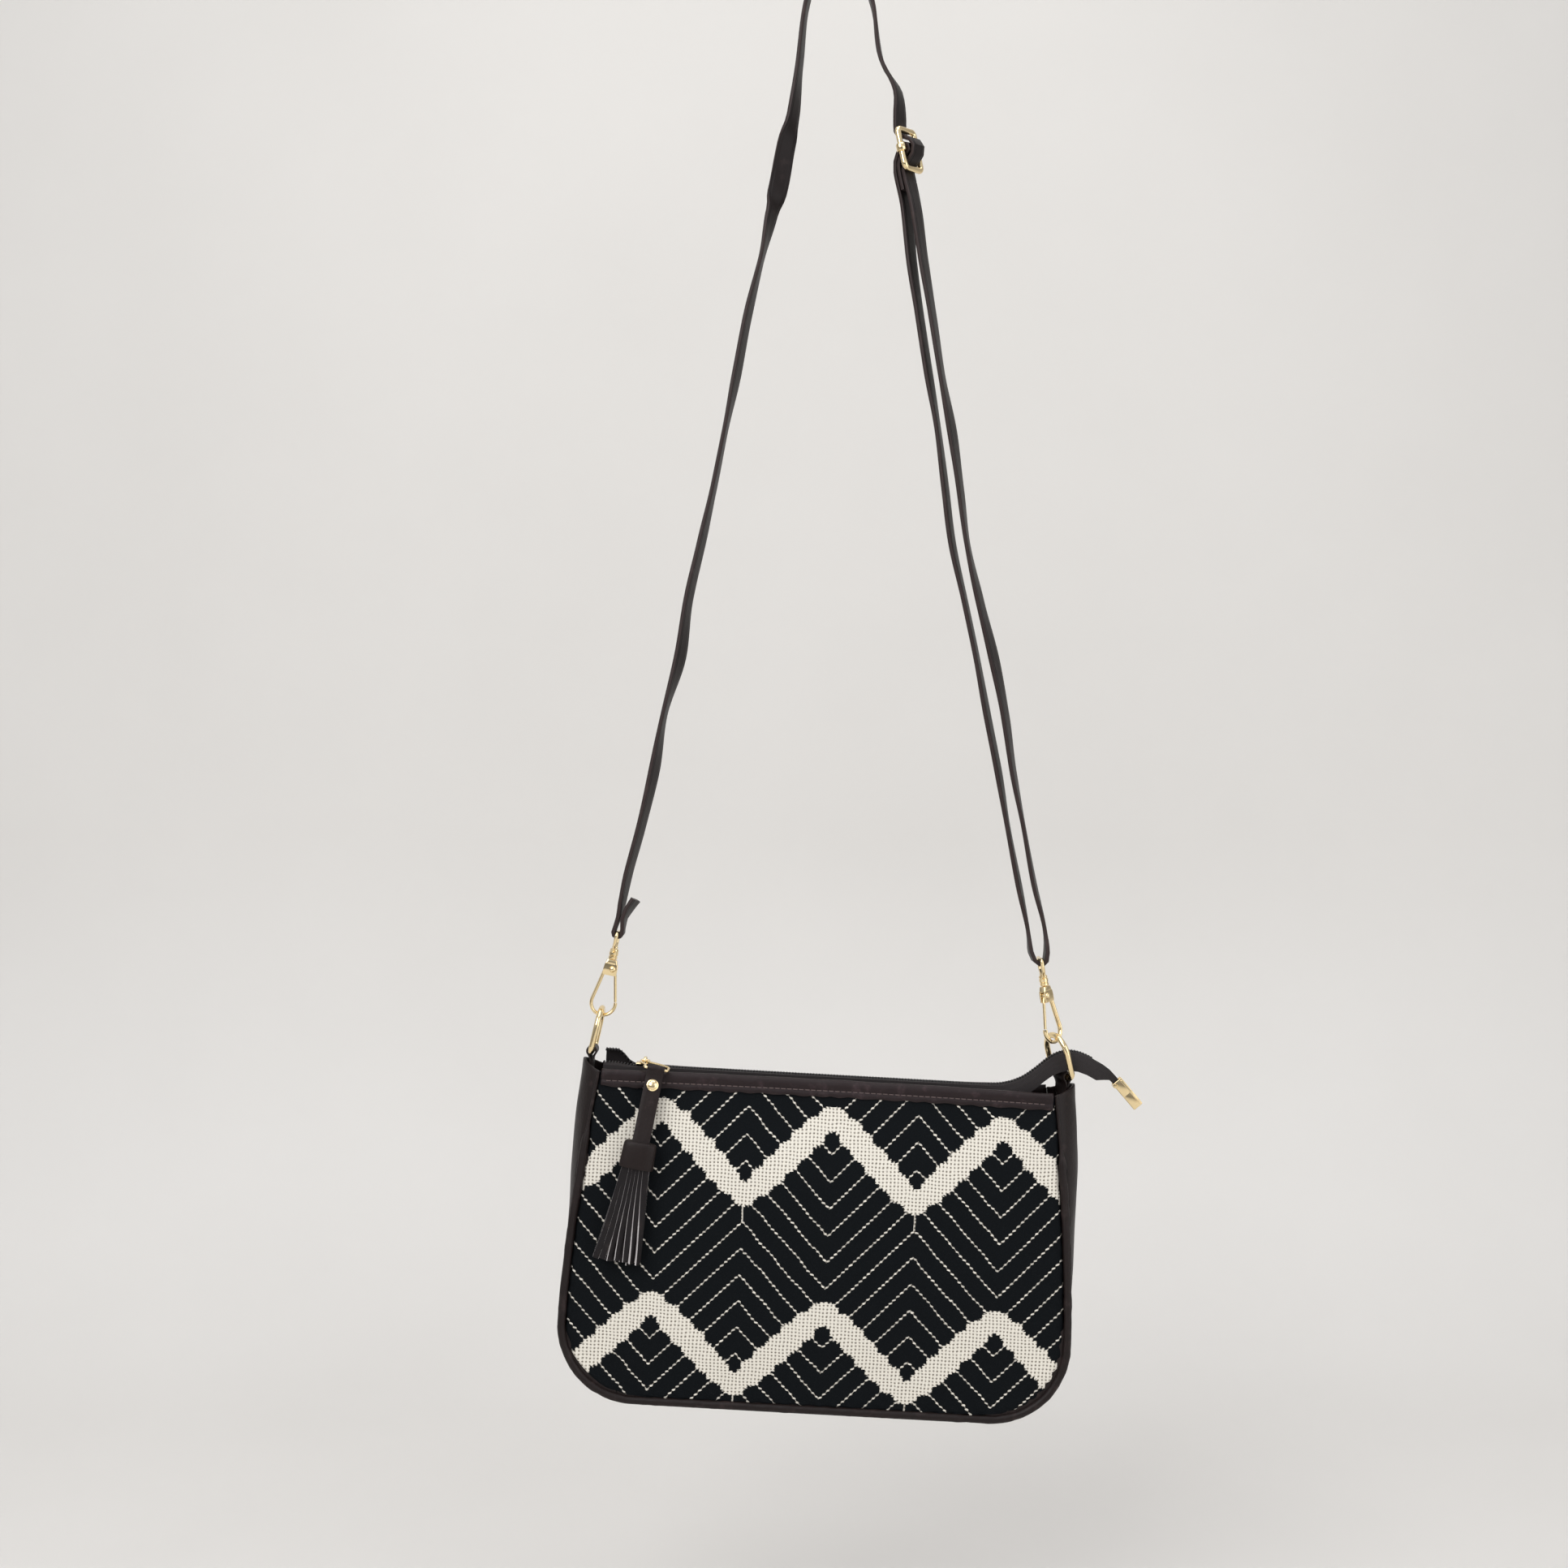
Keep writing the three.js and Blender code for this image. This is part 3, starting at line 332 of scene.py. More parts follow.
def placed(tree, group, **values):
    node = tree.nodes.new("ShaderNodeGroup")
    node.node_tree = group
    for label, value in values.items():
        feed(tree, node.inputs[label], value)
    return node


# Leather grain: small pebbles, soft creases and where the finish has rubbed thin
def makeGrainGroup():
    tree, start, end = newGroup(
        "leatherGrain",
        [("Place", "NodeSocketVector", None), ("Pebble", "NodeSocketFloat", 900.0)],
        [(label, "NodeSocketFloat") for label in ("Height", "Rubbed", "Shade")],
    )
    place = start.outputs["Place"]
    pebble = tree.nodes.new("ShaderNodeTexVoronoi")
    pebble.feature = "SMOOTH_F1"
    tree.links.new(place, pebble.inputs["Vector"])
    tree.links.new(start.outputs["Pebble"], pebble.inputs["Scale"])
    crease = noiseAt(tree, place, 160.0, 4.0)
    broad = noiseAt(tree, place, 38.0, 3.0)
    c = sumsIn(tree)
    lumps = c("MULTIPLY", pebble.outputs["Distance"], 0.55)
    height = c("ADD", lumps, c("MULTIPLY", crease, 0.8))
    tree.links.new(height, end.inputs["Height"])
    tree.links.new(stepBetween(tree, crease, 0.55, 0.75), end.inputs["Rubbed"])
    tree.links.new(broad, end.inputs["Shade"])
    return tree


# Plain woven cloth for tapes and lining
def makeWeaveGroup():
    tree, start, end = newGroup(
        "plainWeave",
        [("Place", "NodeSocketVector", None), ("Threads", "NodeSocketFloat", 900.0)],
        [("Height", "NodeSocketFloat")],
    )
    parts = tree.nodes.new("ShaderNodeSeparateXYZ")
    tree.links.new(start.outputs["Place"], parts.inputs[0])
    c = sumsIn(tree)
    waves = []
    for axis in (0, 2):
        turn = c("MULTIPLY", parts.outputs[axis], start.outputs["Threads"])
        waves.append(c("SINE", c("MULTIPLY", turn, 2 * pi)))
    cross = c("MULTIPLY", *waves)
    tree.links.new(c("ADD", c("MULTIPLY", cross, 0.5), 0.5), end.inputs["Height"])
    return tree


grainGroup = makeGrainGroup()
weaveGroup = makeWeaveGroup()


def leatherMaterial(name, deep, worn, roughness, pebble=900.0):
    made = newMaterial(name)
    tree, shader = made[1:]
    grain = placed(tree, grainGroup, Place=objectCoordinates(tree), Pebble=pebble)
    c = sumsIn(tree)
    rubbed = c("MULTIPLY", grain.outputs["Rubbed"], 0.6)
    shaded = c("MULTIPLY", grain.outputs["Shade"], 0.35)
    colour = blendColours(tree, c("ADD", rubbed, shaded), deep, worn)
    rough = c("ADD", c("MULTIPLY", grain.outputs["Shade"], 0.25), roughness - 0.12)
    tree.links.new(rough, shader.inputs["Roughness"])
    shader.inputs["Specular IOR Level"].default_value = 0.2
    return finishMaterial(made, colour, grain.outputs["Height"], 0.35)


# deep and rubbed colours, roughness and, where it isn't the usual, how fine the grain is
leathers = {
    "bodyLeather": ((0.0085, 0.0055, 0.0050, 1), (0.032, 0.021, 0.020, 1), 0.45),
    "bandLeather": ((0.0115, 0.0070, 0.0072, 1), (0.046, 0.029, 0.031, 1), 0.43),
    "pullLeather": ((0.0095, 0.0058, 0.0052, 1), (0.030, 0.019, 0.018, 1), 0.46),
    "fringeLeather": ((0.0062, 0.0050, 0.0058, 1), (0.021, 0.015, 0.0145, 1), 0.6, 700.0),
    "cutEdge": ((0.40, 0.37, 0.37, 1), (0.78, 0.75, 0.73, 1), 0.8, 1500.0),
}
bodyLeather, bandLeather, pullLeather, fringeLeather, cutEdge = (
    leatherMaterial(name, *finish) for name, finish in leathers.items()
)


# The strap's edges are rubbed lighter where it is folded and painted
def strapMaterial():
    made = newMaterial("strapLeather", 0.45)
    tree, shader = made[1:]
    grain = placed(tree, grainGroup, Place=objectCoordinates(tree), Pebble=1100.0)
    parts = tree.nodes.new("ShaderNodeSeparateXYZ")
    tree.links.new(surfaceCoordinates(tree), parts.inputs[0])
    c = sumsIn(tree)
    around = c("PINGPONG", parts.outputs[1], 0.25)
    edge = stepBetween(tree, around, 0.13, 0.09)
    line = stepBetween(tree, c("ABSOLUTE", c("SUBTRACT", around, 0.172)), 0.02, 0.0)
    rubbed = c("MULTIPLY", grain.outputs["Rubbed"], 0.3)
    amount = c("ADD", c("MULTIPLY", edge, 0.55), rubbed)
    colour = blendColours(tree, amount, (0.0105, 0.0068, 0.0065, 1), (0.05, 0.033, 0.031, 1))
    shader.inputs["Specular IOR Level"].default_value = 0.2
    pebbles = c("MULTIPLY", grain.outputs["Height"], 0.5)
    height = c("SUBTRACT", pebbles, c("MULTIPLY", line, 0.8))
    return finishMaterial(made, colour, height, 0.4)


strapLeather = strapMaterial()


def wovenMaterial(name, threads, deep, light, roughness, strength):
    made = newMaterial(name, roughness)
    tree = made[1]
    weave = placed(tree, weaveGroup, Place=objectCoordinates(tree), Threads=threads)
    height = weave.outputs["Height"]
    return finishMaterial(made, blendColours(tree, height, deep, light), height, strength, 0.0003)


zipTape = wovenMaterial(
    "zipTape", 1400.0, (0.0055, 0.0042, 0.0044, 1), (0.020, 0.014, 0.014, 1), 0.85, 0.5
)
liningCloth = wovenMaterial(
    "liningCloth", 1100.0, (0.008, 0.007, 0.008, 1), (0.02, 0.018, 0.02, 1), 0.9, 0.4
)


def coilMaterial():
    made = newMaterial("zipCoil", 0.38)
    tree = made[1]
    shade = noiseAt(tree, objectCoordinates(tree), 700.0)
    colour = blendColours(tree, shade, (0.006, 0.006, 0.007, 1), (0.022, 0.019, 0.020, 1))
    return finishMaterial(made, colour)


zipCoil = coilMaterial()


# Pale gold plating with faint wear and a little tarnish
def goldMaterial():
    made = newMaterial("paleGold", 0.2, 1.0)
    tree, shader = made[1:]
    place = objectCoordinates(tree)
    tarnish = stepBetween(tree, noiseAt(tree, place, 120.0, 3.0), 0.55, 0.9)
    colour = blendColours(tree, tarnish, (0.90, 0.72, 0.42, 1), (0.66, 0.49, 0.27, 1))
    c = sumsIn(tree)
    rough = c("ADD", c("MULTIPLY", noiseAt(tree, place, 400.0), 0.12), 0.07)
    tree.links.new(rough, shader.inputs["Roughness"])
    return finishMaterial(made, colour, noiseAt(tree, place, 700.0, 2.0), 0.04, 0.0002)


paleGold = goldMaterial()

# Woven zigzag cloth. Sizes in millimetres in the bag's frame; the UV map is in metres there.
pattern = {
    "period": 84.8,
    "peakAt": 3.9,  # a column of peaks
    "repeat": 93.8,  # one zigzag to the next
    "bandMiddle": -16.2,  # the upper band at its peaks
    "slope": 0.988,
    "bandHeight": 17.2,
    "scallop": 1.9,
    "lineSlope": 1.03,
    "lineRepeat": 12.95,
    "firstLine": -35.6,
    "cell": 1.86,
}


def clothMaterial():
    p = pattern
    made = newMaterial("zigzagCloth", 0.92)
    tree, shader = made[1:]
    c = sumsIn(tree)
    parts = tree.nodes.new("ShaderNodeSeparateXYZ")
    scaled = tree.nodes.new("ShaderNodeVectorMath")
    scaled.operation = "SCALE"
    scaled.inputs["Scale"].default_value = 1000.0
    tree.links.new(surfaceCoordinates(tree), scaled.inputs[0])
    place = scaled.outputs[0]
    tree.links.new(place, parts.inputs[0])
    loose = c("SUBTRACT", noiseAt(tree, place, 0.09, 3.0), 0.5)
    across = c("ADD", parts.outputs[0], c("MULTIPLY", loose, 1.6))
    up = c("ADD", parts.outputs[1], c("MULTIPLY", loose, 2.2))
    cell = p["cell"]

    def snapped(value, size):
        return c("MULTIPLY", c("ADD", c("FLOOR", c("DIVIDE", value, size)), 0.5), size)

    def centred(value, size):
        return c("SUBTRACT", c("MODULO", c("ADD", value, size * 200.5), size), size / 2)

    column = snapped(across, cell)
    row = snapped(up, cell * 0.47)
    half = p["period"] / 2
    away = c("PINGPONG", c("SUBTRACT", column, p["peakAt"]), half)
    awayHere = c("PINGPONG", c("SUBTRACT", across, p["peakAt"]), half)
    # height of a woven cell above the middle of the zigzag over it
    level = c("SUBTRACT", c("ADD", row, c("MULTIPLY", away, p["slope"])), p["bandMiddle"])
    field = c("FLOOR", c("DIVIDE", c("MULTIPLY", level, -1.0), p["repeat"]))
    offBand = centred(level, p["repeat"])
    # dotted lines run the other way and start again under each zigzag
    fieldUp = c("ADD", c("SUBTRACT", up, p["firstLine"]), c("MULTIPLY", field, p["repeat"]))
    offStep = centred(c("SUBTRACT", fieldUp, c("MULTIPLY", away, p["lineSlope"])), p["lineRepeat"])
    lineLevel = c("SUBTRACT", fieldUp, c("MULTIPLY", awayHere, p["lineSlope"]))
    offLine = centred(lineLevel, p["lineRepeat"])
    nearBar = c("DIVIDE", c("ABSOLUTE", offLine), p["lineRepeat"] / 2)
    # the black bars between the lines end round, and the zigzag's outer corners are blunt
    below = c("LESS_THAN", offBand, 0.0)
    corner = c("ABSOLUTE", c("SUBTRACT", away, c("MULTIPLY", below, half)))
    blunt = c("MAXIMUM", c("SUBTRACT", 4.3, c("MULTIPLY", corner, 0.33)), 0.0)
    scallop = c("MULTIPLY", c("POWER", nearBar, 1.6), p["scallop"])
    reach = c("SUBTRACT", (p["bandHeight"] + p["scallop"]) / 2, scallop)
    sharp = c("SUBTRACT", half, corner)
    sharp = c("MAXIMUM", c("SUBTRACT", 1.5, c("MULTIPLY", sharp, 0.22)), 0.0)
    reach = c("SUBTRACT", c("SUBTRACT", reach, blunt), sharp)
    inBand = stepBetween(tree, c("SUBTRACT", c("ABSOLUTE", offBand), reach), 0.22, -0.22)
    # each stitch lies in one cell, and a thin thread joins it to the next
    along = c("SUBTRACT", across, column)
    tilt = c("MULTIPLY", c("SUBTRACT", awayHere, away), 0.3)
    offStitch = c("SUBTRACT", offStep, tilt)
    inCell = c("POWER", c("ABSOLUTE", c("DIVIDE", along, cell * 0.5)), 3.0)
    inRow = c("POWER", c("DIVIDE", offStitch, 0.46), 2.0)
    stitch = stepBetween(tree, c("ADD", inCell, inRow), 1.25, 0.7)
    joint = stepBetween(tree, c("ABSOLUTE", offLine), 0.34, 0.1)
    joint = c("MULTIPLY", joint, stepBetween(tree, c("ABSOLUTE", along), cell * 0.2, cell * 0.42))
    random = tree.nodes.new("ShaderNodeTexWhiteNoise")
    random.noise_dimensions = "2D"
    pair = tree.nodes.new("ShaderNodeCombineXYZ")
    tree.links.new(column, pair.inputs[0])
    tree.links.new(c("ROUND", c("DIVIDE", lineLevel, p["lineRepeat"])), pair.inputs[1])
    tree.links.new(pair.outputs[0], random.inputs["Vector"])
    bright = c("ADD", c("MULTIPLY", random.outputs["Value"], 0.4), 0.65)
    dots = c("MULTIPLY", c("MAXIMUM", stitch, c("MULTIPLY", joint, 0.75)), bright)
    # a thin stem hangs from each valley of the upper zigzag
    stemWidth = c("LESS_THAN", c("SUBTRACT", half, awayHere), 0.42)
    stemHeight = c("LESS_THAN", c("ABSOLUTE", c("ADD", offBand, 8.0)), 4.6)
    stem = c("MULTIPLY", stemWidth, stemHeight)
    cream = c("MAXIMUM", c("MAXIMUM", inBand, dots), c("MULTIPLY", stem, 0.7))
    # pinholes between the threads of the cream
    holeX = c("DIVIDE", centred(across, cell), cell)
    holeZ = c("DIVIDE", centred(up, cell * 0.94), cell)
    soft = noiseAt(tree, place, 0.55, 2.0)
    wide = c("POWER", c("MULTIPLY", holeX, 3.0), 2.0)
    tall = c("POWER", c("MULTIPLY", holeZ, 3.4), 2.0)
    holeAway = c("ADD", wide, tall)
    hole = c("MULTIPLY", stepBetween(tree, holeAway, 1.0, 0.15), stepBetween(tree, soft, 0.15, 0.5))
    rib = c("ABSOLUTE", c("MULTIPLY", holeX, 2.0))
    fine = noiseAt(tree, place, 1.9, 3.0)
    shade = c("ADD", c("ADD", c("MULTIPLY", fine, 0.5), 0.45), c("MULTIPLY", rib, 0.12))
    shade = c("MULTIPLY", shade, c("SUBTRACT", 1.0, c("MULTIPLY", hole, 0.95)))
    creamColour = blendColours(tree, shade, (0.17, 0.15, 0.115, 1), (0.90, 0.85, 0.755, 1))
    hair = noiseAt(tree, place, 1.3, 4.0, 0.65)
    blackColour = blendColours(tree, hair, (0.0010, 0.0016, 0.0022, 1), (0.0058, 0.0075, 0.0092, 1))
    shader.inputs["Specular IOR Level"].default_value = 0.12
    colour = blendColours(tree, cream, blackColour, creamColour)
    rise = c("ADD", c("MULTIPLY", cream, c("SUBTRACT", 1.0, hole)), c("MULTIPLY", hair, 0.5))
    return finishMaterial(made, colour, rise)


zigzagCloth = clothMaterial()
print("materials ready")


# The panels
panelCloth = {"columns": 150, "rows": 110, "thickness": 1.2, "top": -1.3, "pucker": 0.35}


def makePanel(name, front, material, node):
    s = panelCloth
    bottom = -bag["height"]

    def place(along, across):
        # rows crowd together round the bottom corners
        fall = 1 - across
        z = mix(s["top"], bottom, mix(fall, sin(fall * pi / 2), 0.55))
        inset = pipingRadiusAt(z) + 0.1
        half = halfWidthAt(z) - inset
        x = half * (2 * along - 1)
        sunk = clamp((cornerTop - z) / bag["cornerRadius"]) * inset
        edge = min(half - abs(x), (z + sunk - bottom))
        nearEdge = 1 - smooth(edge, 0, 9)
        y = halfDepthAt(x, z)
        y += s["pucker"] * nearEdge * sin((x + z) * 0.75 + 2 * wobble(x, 0, z, 30))
        y += 0.7 * wobble(x, 0, z, 38) * smooth(edge, 0, 25)
        y -= 0.9 * (1 - smooth(edge, 0, 2.2))
        return inBag(x, front * y, z + sunk)

    bm = laidGrid(s["columns"], s["rows"], place)
    uvLayer = bm.loops.layers.uv.active
    back = bagFrame.inverted()
    for face in bm.faces:
        for loop in face.loops:
            spot = back @ (loop.vert.co * 1000)
            loop[uvLayer].uv = (spot.x * 0.001, spot.z * 0.001)
    piece = finishPiece(bm, name, "bag", material, [node])
    if (piece.data.polygons[0].normal.y > 0) != (front > 0):
        piece.data.flip_normals()
    thicken(piece, s["thickness"] * 0.001)


makePanel("frontCloth", -1, zigzagCloth, "front_panel")
makePanel("backLeather", 1, bodyLeather, "back_panel")


# The outline of the body, from the left of the mouth round the bottom to the right
def rimLine(count):
    side = [(halfWidthAt(z), z) for z in [-1, -9, -20, -34, -50, -68, -88, -108, cornerTop]]
    turn = [
        (
            bag["baseHalfWidth"] - bag["cornerRadius"] * (1 - cos(a * pi / 24)),
            cornerTop - bag["cornerRadius"] * sin(a * pi / 24),
        )
        for a in range(1, 13)
    ]
    floorPart = [(x, -bag["height"]) for x in (60, 30, 0)]
    right = side + turn + floorPart
    line = [(-x, 0, z) for x, z in right[:-1]] + [(x, 0, z) for x, z in reversed(right)]
    return smoothLine(line, count)


def rimFrames(count):
    line = rimLine(count)
    frames = []
    for i, p in enumerate(line):
        along = (line[min(i + 1, count - 1)] - line[max(i - 1, 0)]).normalized()
        out = Vector((along.z, 0, -along.x))
        frames.append((p, out))
    return frames


# Piping: cord covered with leather, thin where the top seam swallows it
piping = {"count": 420, "sides": 12, "crease": 0.16}


def makePiping(name, front, node):
    s = piping
    frames = rimFrames(s["count"])

    def place(along, across):
        i = min(round(along * (s["count"] - 1)), s["count"] - 1)
        p, out = frames[i]
        turn = across * 2 * pi
        r = pipingRadiusAt(p.z)
        r *= 1 + s["crease"] * wobble(p.x, turn, p.z, 5.0) * (1 if r > 1 else 0)
        depth = rimHalfDepthAt(p.z) - 0.2
        spot = p + out * (r * cos(turn))
        return inBag(spot.x, front * depth + r * sin(turn), spot.z)

    bm = laidGrid(s["count"] - 1, s["sides"], place, (4, 1), wrap=True)
    return finishPiece(bm, name, "bag", bodyLeather, [node])


makePiping("frontPiping", -1, "front_piping")
makePiping("backPiping", 1, "back_piping")


# Gusset: one strip round both sides and the bottom, swelling past its seams
gusset = {"columns": 420, "rows": 36, "thickness": 1.3, "edge": 0.4}


def bulgeAt(p):
    top = bag["leftBulge"] if p.x < 0 else bag["rightBulge"]
    side = top * (1 - smooth(-p.z, 0, 115 if p.x < 0 else 150)) + 0.6
    bottom = bag["baseBulge"] * smooth(-p.z, bag["height"] - 8, bag["height"])
    return max(side * (1 if p.z > cornerTop - 30 else 0.5), bottom)


def makeGusset():
    s = gusset
    frames = rimFrames(s["columns"] + 1)

    def place(along, across):
        p, out = frames[round(along * s["columns"])]
        v = 2 * across - 1
        reach = rimHalfDepthAt(p.z) - 0.2 - pipingRadiusAt(p.z) * 0.5
        shape = 1 - v * v
        away = bulgeAt(p) * shape + 1.2
        away += 0.55 * wobble(p.x, v * 20, p.z, 26, 3) * shape
        away += 0.35 * wobble(p.x, v * 26, p.z * 0.4, 9, 7) * shape
        away -= 1.1 * smooth(abs(v), 0.9, 1.0)
        rise = 3 * shape * smooth(p.z, -6, -1)
        spot = p + out * away
        return inBag(spot.x, v * reach, spot.z + rise)

    bm = laidGrid(s["columns"], s["rows"], place, (5, 0.4))
    piece = finishPiece(bm, "gussetLeather", "bag", bodyLeather, ["gusset"])
    middle = piece.data.polygons[len(piece.data.polygons) // 2 + 4]
    if middle.normal.dot(middle.center - Vector((-0.006, 0, -0.64))) < 0:
        piece.data.flip_normals()
    thicken(piece, s["thickness"] * 0.001, s["edge"] * 0.001)


makeGusset()
print("shell made")

# Bands folded over the panels' top edges: two soft ridges and a line of stitches
band = {
    "columns": 260,
    "leather": 0.5,
    "short": 1.3,
    "stitchStep": 3.0,
    "stitch": 2.1,
    "stitchLevel": -5.4,
}
# out from the panel's middle and up from the mouth: round the front, over the top, down inside
bandProfile = [
    (0.55, -8.0), (0.9, -8.35), (1.35, -8.3), (1.75, -7.7), (1.95, -6.9), (1.85, -6.0),
    (1.35, -5.35), (1.45, -4.7), (1.85, -4.0), (2.1, -2.9), (2.05, -1.8), (1.7, -0.9),
    (1.0, -0.25), (0, 0), (-1.0, -0.25), (-1.45, -1.2), (-1.5, -3.5), (-1.45, -6.8), (-0.6, -7.2),
]


def makeBand(name, front, node):
    reach = bag["mouthHalfWidth"] - band["short"]
    count = len(bandProfile) - 1

    def place(along, across):
        x = reach * (2 * along - 1)
        away, z = bandProfile[round(across * count)]
        low = smooth(-z, 4, 8)
        wave = sin(x * 0.55 + 3 * wobble(x, 0, 0, 25))
        z += 0.28 * low * wave + 0.25 * wobble(x, front * 3, z, 16)
        away += 0.18 * wobble(x, z, front * 5, 7) + 0.25 * wobble(x, 2, front, 30)
        middle = halfDepthAt(x, min(z, -0.9)) - 0.6
        end = smooth(abs(x), reach - 4, reach)
        return inBag(x, front * (middle + away * (1 - 0.25 * end)), z + 0.2 * end)

    bm = laidGrid(band["columns"], count, place, (5, 1))
    piece = finishPiece(bm, name, "bag", bandLeather, [node])
    top = max(piece.data.polygons, key=lambda polygon: polygon.center.z)
    if top.normal.z < 0:
        piece.data.flip_normals()
    thicken(piece, band["leather"] * 0.001)


makeBand("frontBand", -1, "front_top_band")
makeBand("backBand", 1, "back_top_band")


def threadMaterial():
    made = newMaterial("darkThread", 0.6)
    tree = made[1]
    twist = noiseAt(tree, objectCoordinates(tree), 1600.0)
    colour = blendColours(tree, twist, (0.05, 0.032, 0.03, 1), (0.14, 0.10, 0.095, 1))
    return finishMaterial(made, colour, twist, 0.3, 0.0002)


darkThread = threadMaterial()


# One stitch: a short thread whose ends dip into the leather
def stitchAt(middle, along, out, length, radius=0.28):
    points = [
        middle + along * (length * t) + out * (radius * 0.9 * (1 - (2 * t) ** 4))
        for t in (-0.5, -0.3, 0, 0.3, 0.5)
    ]
    return tube([p * 0.001 for p in points], radius * 0.001, 6)


def makeBandStitches():
    reach = bag["mouthHalfWidth"] - 5
    stitches = []
    x = -reach
    while x < reach:
        z = band["stitchLevel"]
        y = -(halfDepthAt(x, z) - 0.6 + 1.35)
        spot = bagFrame @ Vector((x, y, z))
        ahead = bagFrame @ Vector((x + 1, -(halfDepthAt(x + 1, z) - 0.6 + 1.35), z))
        along = (ahead - spot).normalized()
        stitches.append(stitchAt(spot, along, Vector((0, -1, 0)), band["stitch"]))
        x += band["stitchStep"]
    finishPiece(joined(*stitches), "bandStitches", "bag", darkThread, ())


makeBandStitches()
print("bands and stitches made")

# Frames of the hanging pieces, in millimetres
hang = {
    "barLevel": 7.3,
    "ringWire": 1.5,
    "ringHalfWidth": 9.0,
    "ringHeight": 21.5,
    "play": 1.0,
    "bowWire": 0.9,
    "bowRadius": 6.1,
    "bowTaper": 12.0,
    "pivotRise": 23.8,
    "headTop": 28.5,
    "hookRise": 42.5,
    "gateX": 1.2,
    "eyeWire": 0.9,
    "eyeHalfWidth": 6.4,
}


def turned(angle, axis):
    return Matrix.Rotation(radians(angle), 4, axis)


def moved(x, y, z):
    return Matrix.Translation((x, y, z))


# One side's ring, hook and eye: leans and turns in degrees, as they hang
class hangerSide:
    def __init__(self, name, sign, ringLean, ringTurn, hookLean, hookTurn):
        self.name = name
        inset = 0.9 + ringTurn / 14
        x = sign * (bag["mouthHalfWidth"] + bag[name + "Bulge"] * 0.8 - inset)
        self.turn = ringTurn
        self.seat = bagFrame @ moved(x, 0, hang["barLevel"])
        self.ring = self.seat @ turned(ringTurn, "Z") @ turned(ringLean, "Y")
        self.up = Vector((sin(radians(hookLean)), 0, cos(radians(hookLean))))
        drop = hang["ringWire"] + hang["bowWire"] + hang["play"]
        bow = self.ring @ Vector((0, 0, hang["ringHeight"])) - self.up * drop
        self.eye = moved(*bow) @ turned(hookLean, "Y")
        self.hook = self.eye @ turned(hookTurn, "Z")
        self.eyeBar = bow + self.up * hang["hookRise"]


hangers = [hangerSide("left", -1, 9.8, 0, 12, 0), hangerSide("right", 1, -18.2, 24, -10.3, 225)]


# Points on an arc, angles in degrees from the right, counterclockwise
def arc(cx, cz, radius, start, end, steps):
    turns = [radians(mix(start, end, i / steps)) for i in range(steps + 1)]
    return [(cx + radius * cos(a), cz + radius * sin(a)) for a in turns]


def put(place, points):
    return [(place @ Vector(p)) * 0.001 for p in points]


def axisOf(place, axis):
    return (place.to_3x3() @ Vector(axis)).normalized()


def wire(place, points, radius, normal, closed=False, flat=1.0, sides=14):
    return tube(put(place, points), radius * 0.001, sides, closed, flat, axisOf(place, normal))


# A profile and the same again past its middle
def mirrored(profile):
    return profile + [(radius, -z) for radius, z in profile[::-1]]


# A turned shape round the local Z axis; profile gives radius and height
def lathe(place, profile, steps=28):
    last = len(profile) - 1

    def at(along, across):
        radius, z = profile[round(along * last)]
        a = across * 2 * pi
        return (place @ Vector((radius * cos(a), radius * sin(a), z))) * 0.001

    return laidGrid(last, steps, at, wrap=True)


# A cast shape through rounded sections: each has its height, half width, half depth and squareness
def cast(place, sections, steps=36, offset=(0, 0)):
    last = len(sections) - 1

    def at(along, across):
        z, rx, ry, power = sections[round(along * last)]
        a = across * 2 * pi
        x = rx * abs(cos(a)) ** (2 / power) * (1 if cos(a) > 0 else -1)
        y = ry * abs(sin(a)) ** (2 / power) * (1 if sin(a) > 0 else -1)
        return (place @ Vector((x + offset[0], y + offset[1], z))) * 0.001

    return laidGrid(last, steps, at, wrap=True)


# A block with softened edges between two corners
def slab(place, low, high, bevel=0.25):
    bm = bmesh.new()
    bmesh.ops.create_cube(bm, size=1)
    for vert in bm.verts:
        vert.co = Vector([mix(low[i], high[i], vert.co[i] + 0.5) for i in range(3)])
    bmesh.ops.bevel(
        bm, geom=bm.edges[:], offset=bevel, segments=3, profile=0.5, affect="EDGES", material=-1
    )
    for vert in bm.verts:
        vert.co = (place @ vert.co) * 0.001
    return bm


def goldPiece(bm, name, body, node):
    finishPiece(bm, name, body, paleGold, [node])


def makeRing(side):
    w = hang["ringHalfWidth"]
    outline = arc(3 - w, 3, 3, 270, 180, 8) + arc(0, hang["ringHeight"] - w, w, 180, 0, 40)
    outline += arc(w - 3, 3, 3, 0, -90, 8) + [(3.5, 0), (0, 0), (-3.5, 0)]
    points = [(0, y, z) for y, z in outline]
    ring = wire(side.ring, points, hang["ringWire"], (1, 0, 0), True)
    name = side.name + "_ring"
    goldPiece(ring, name + "Wire", name, name)


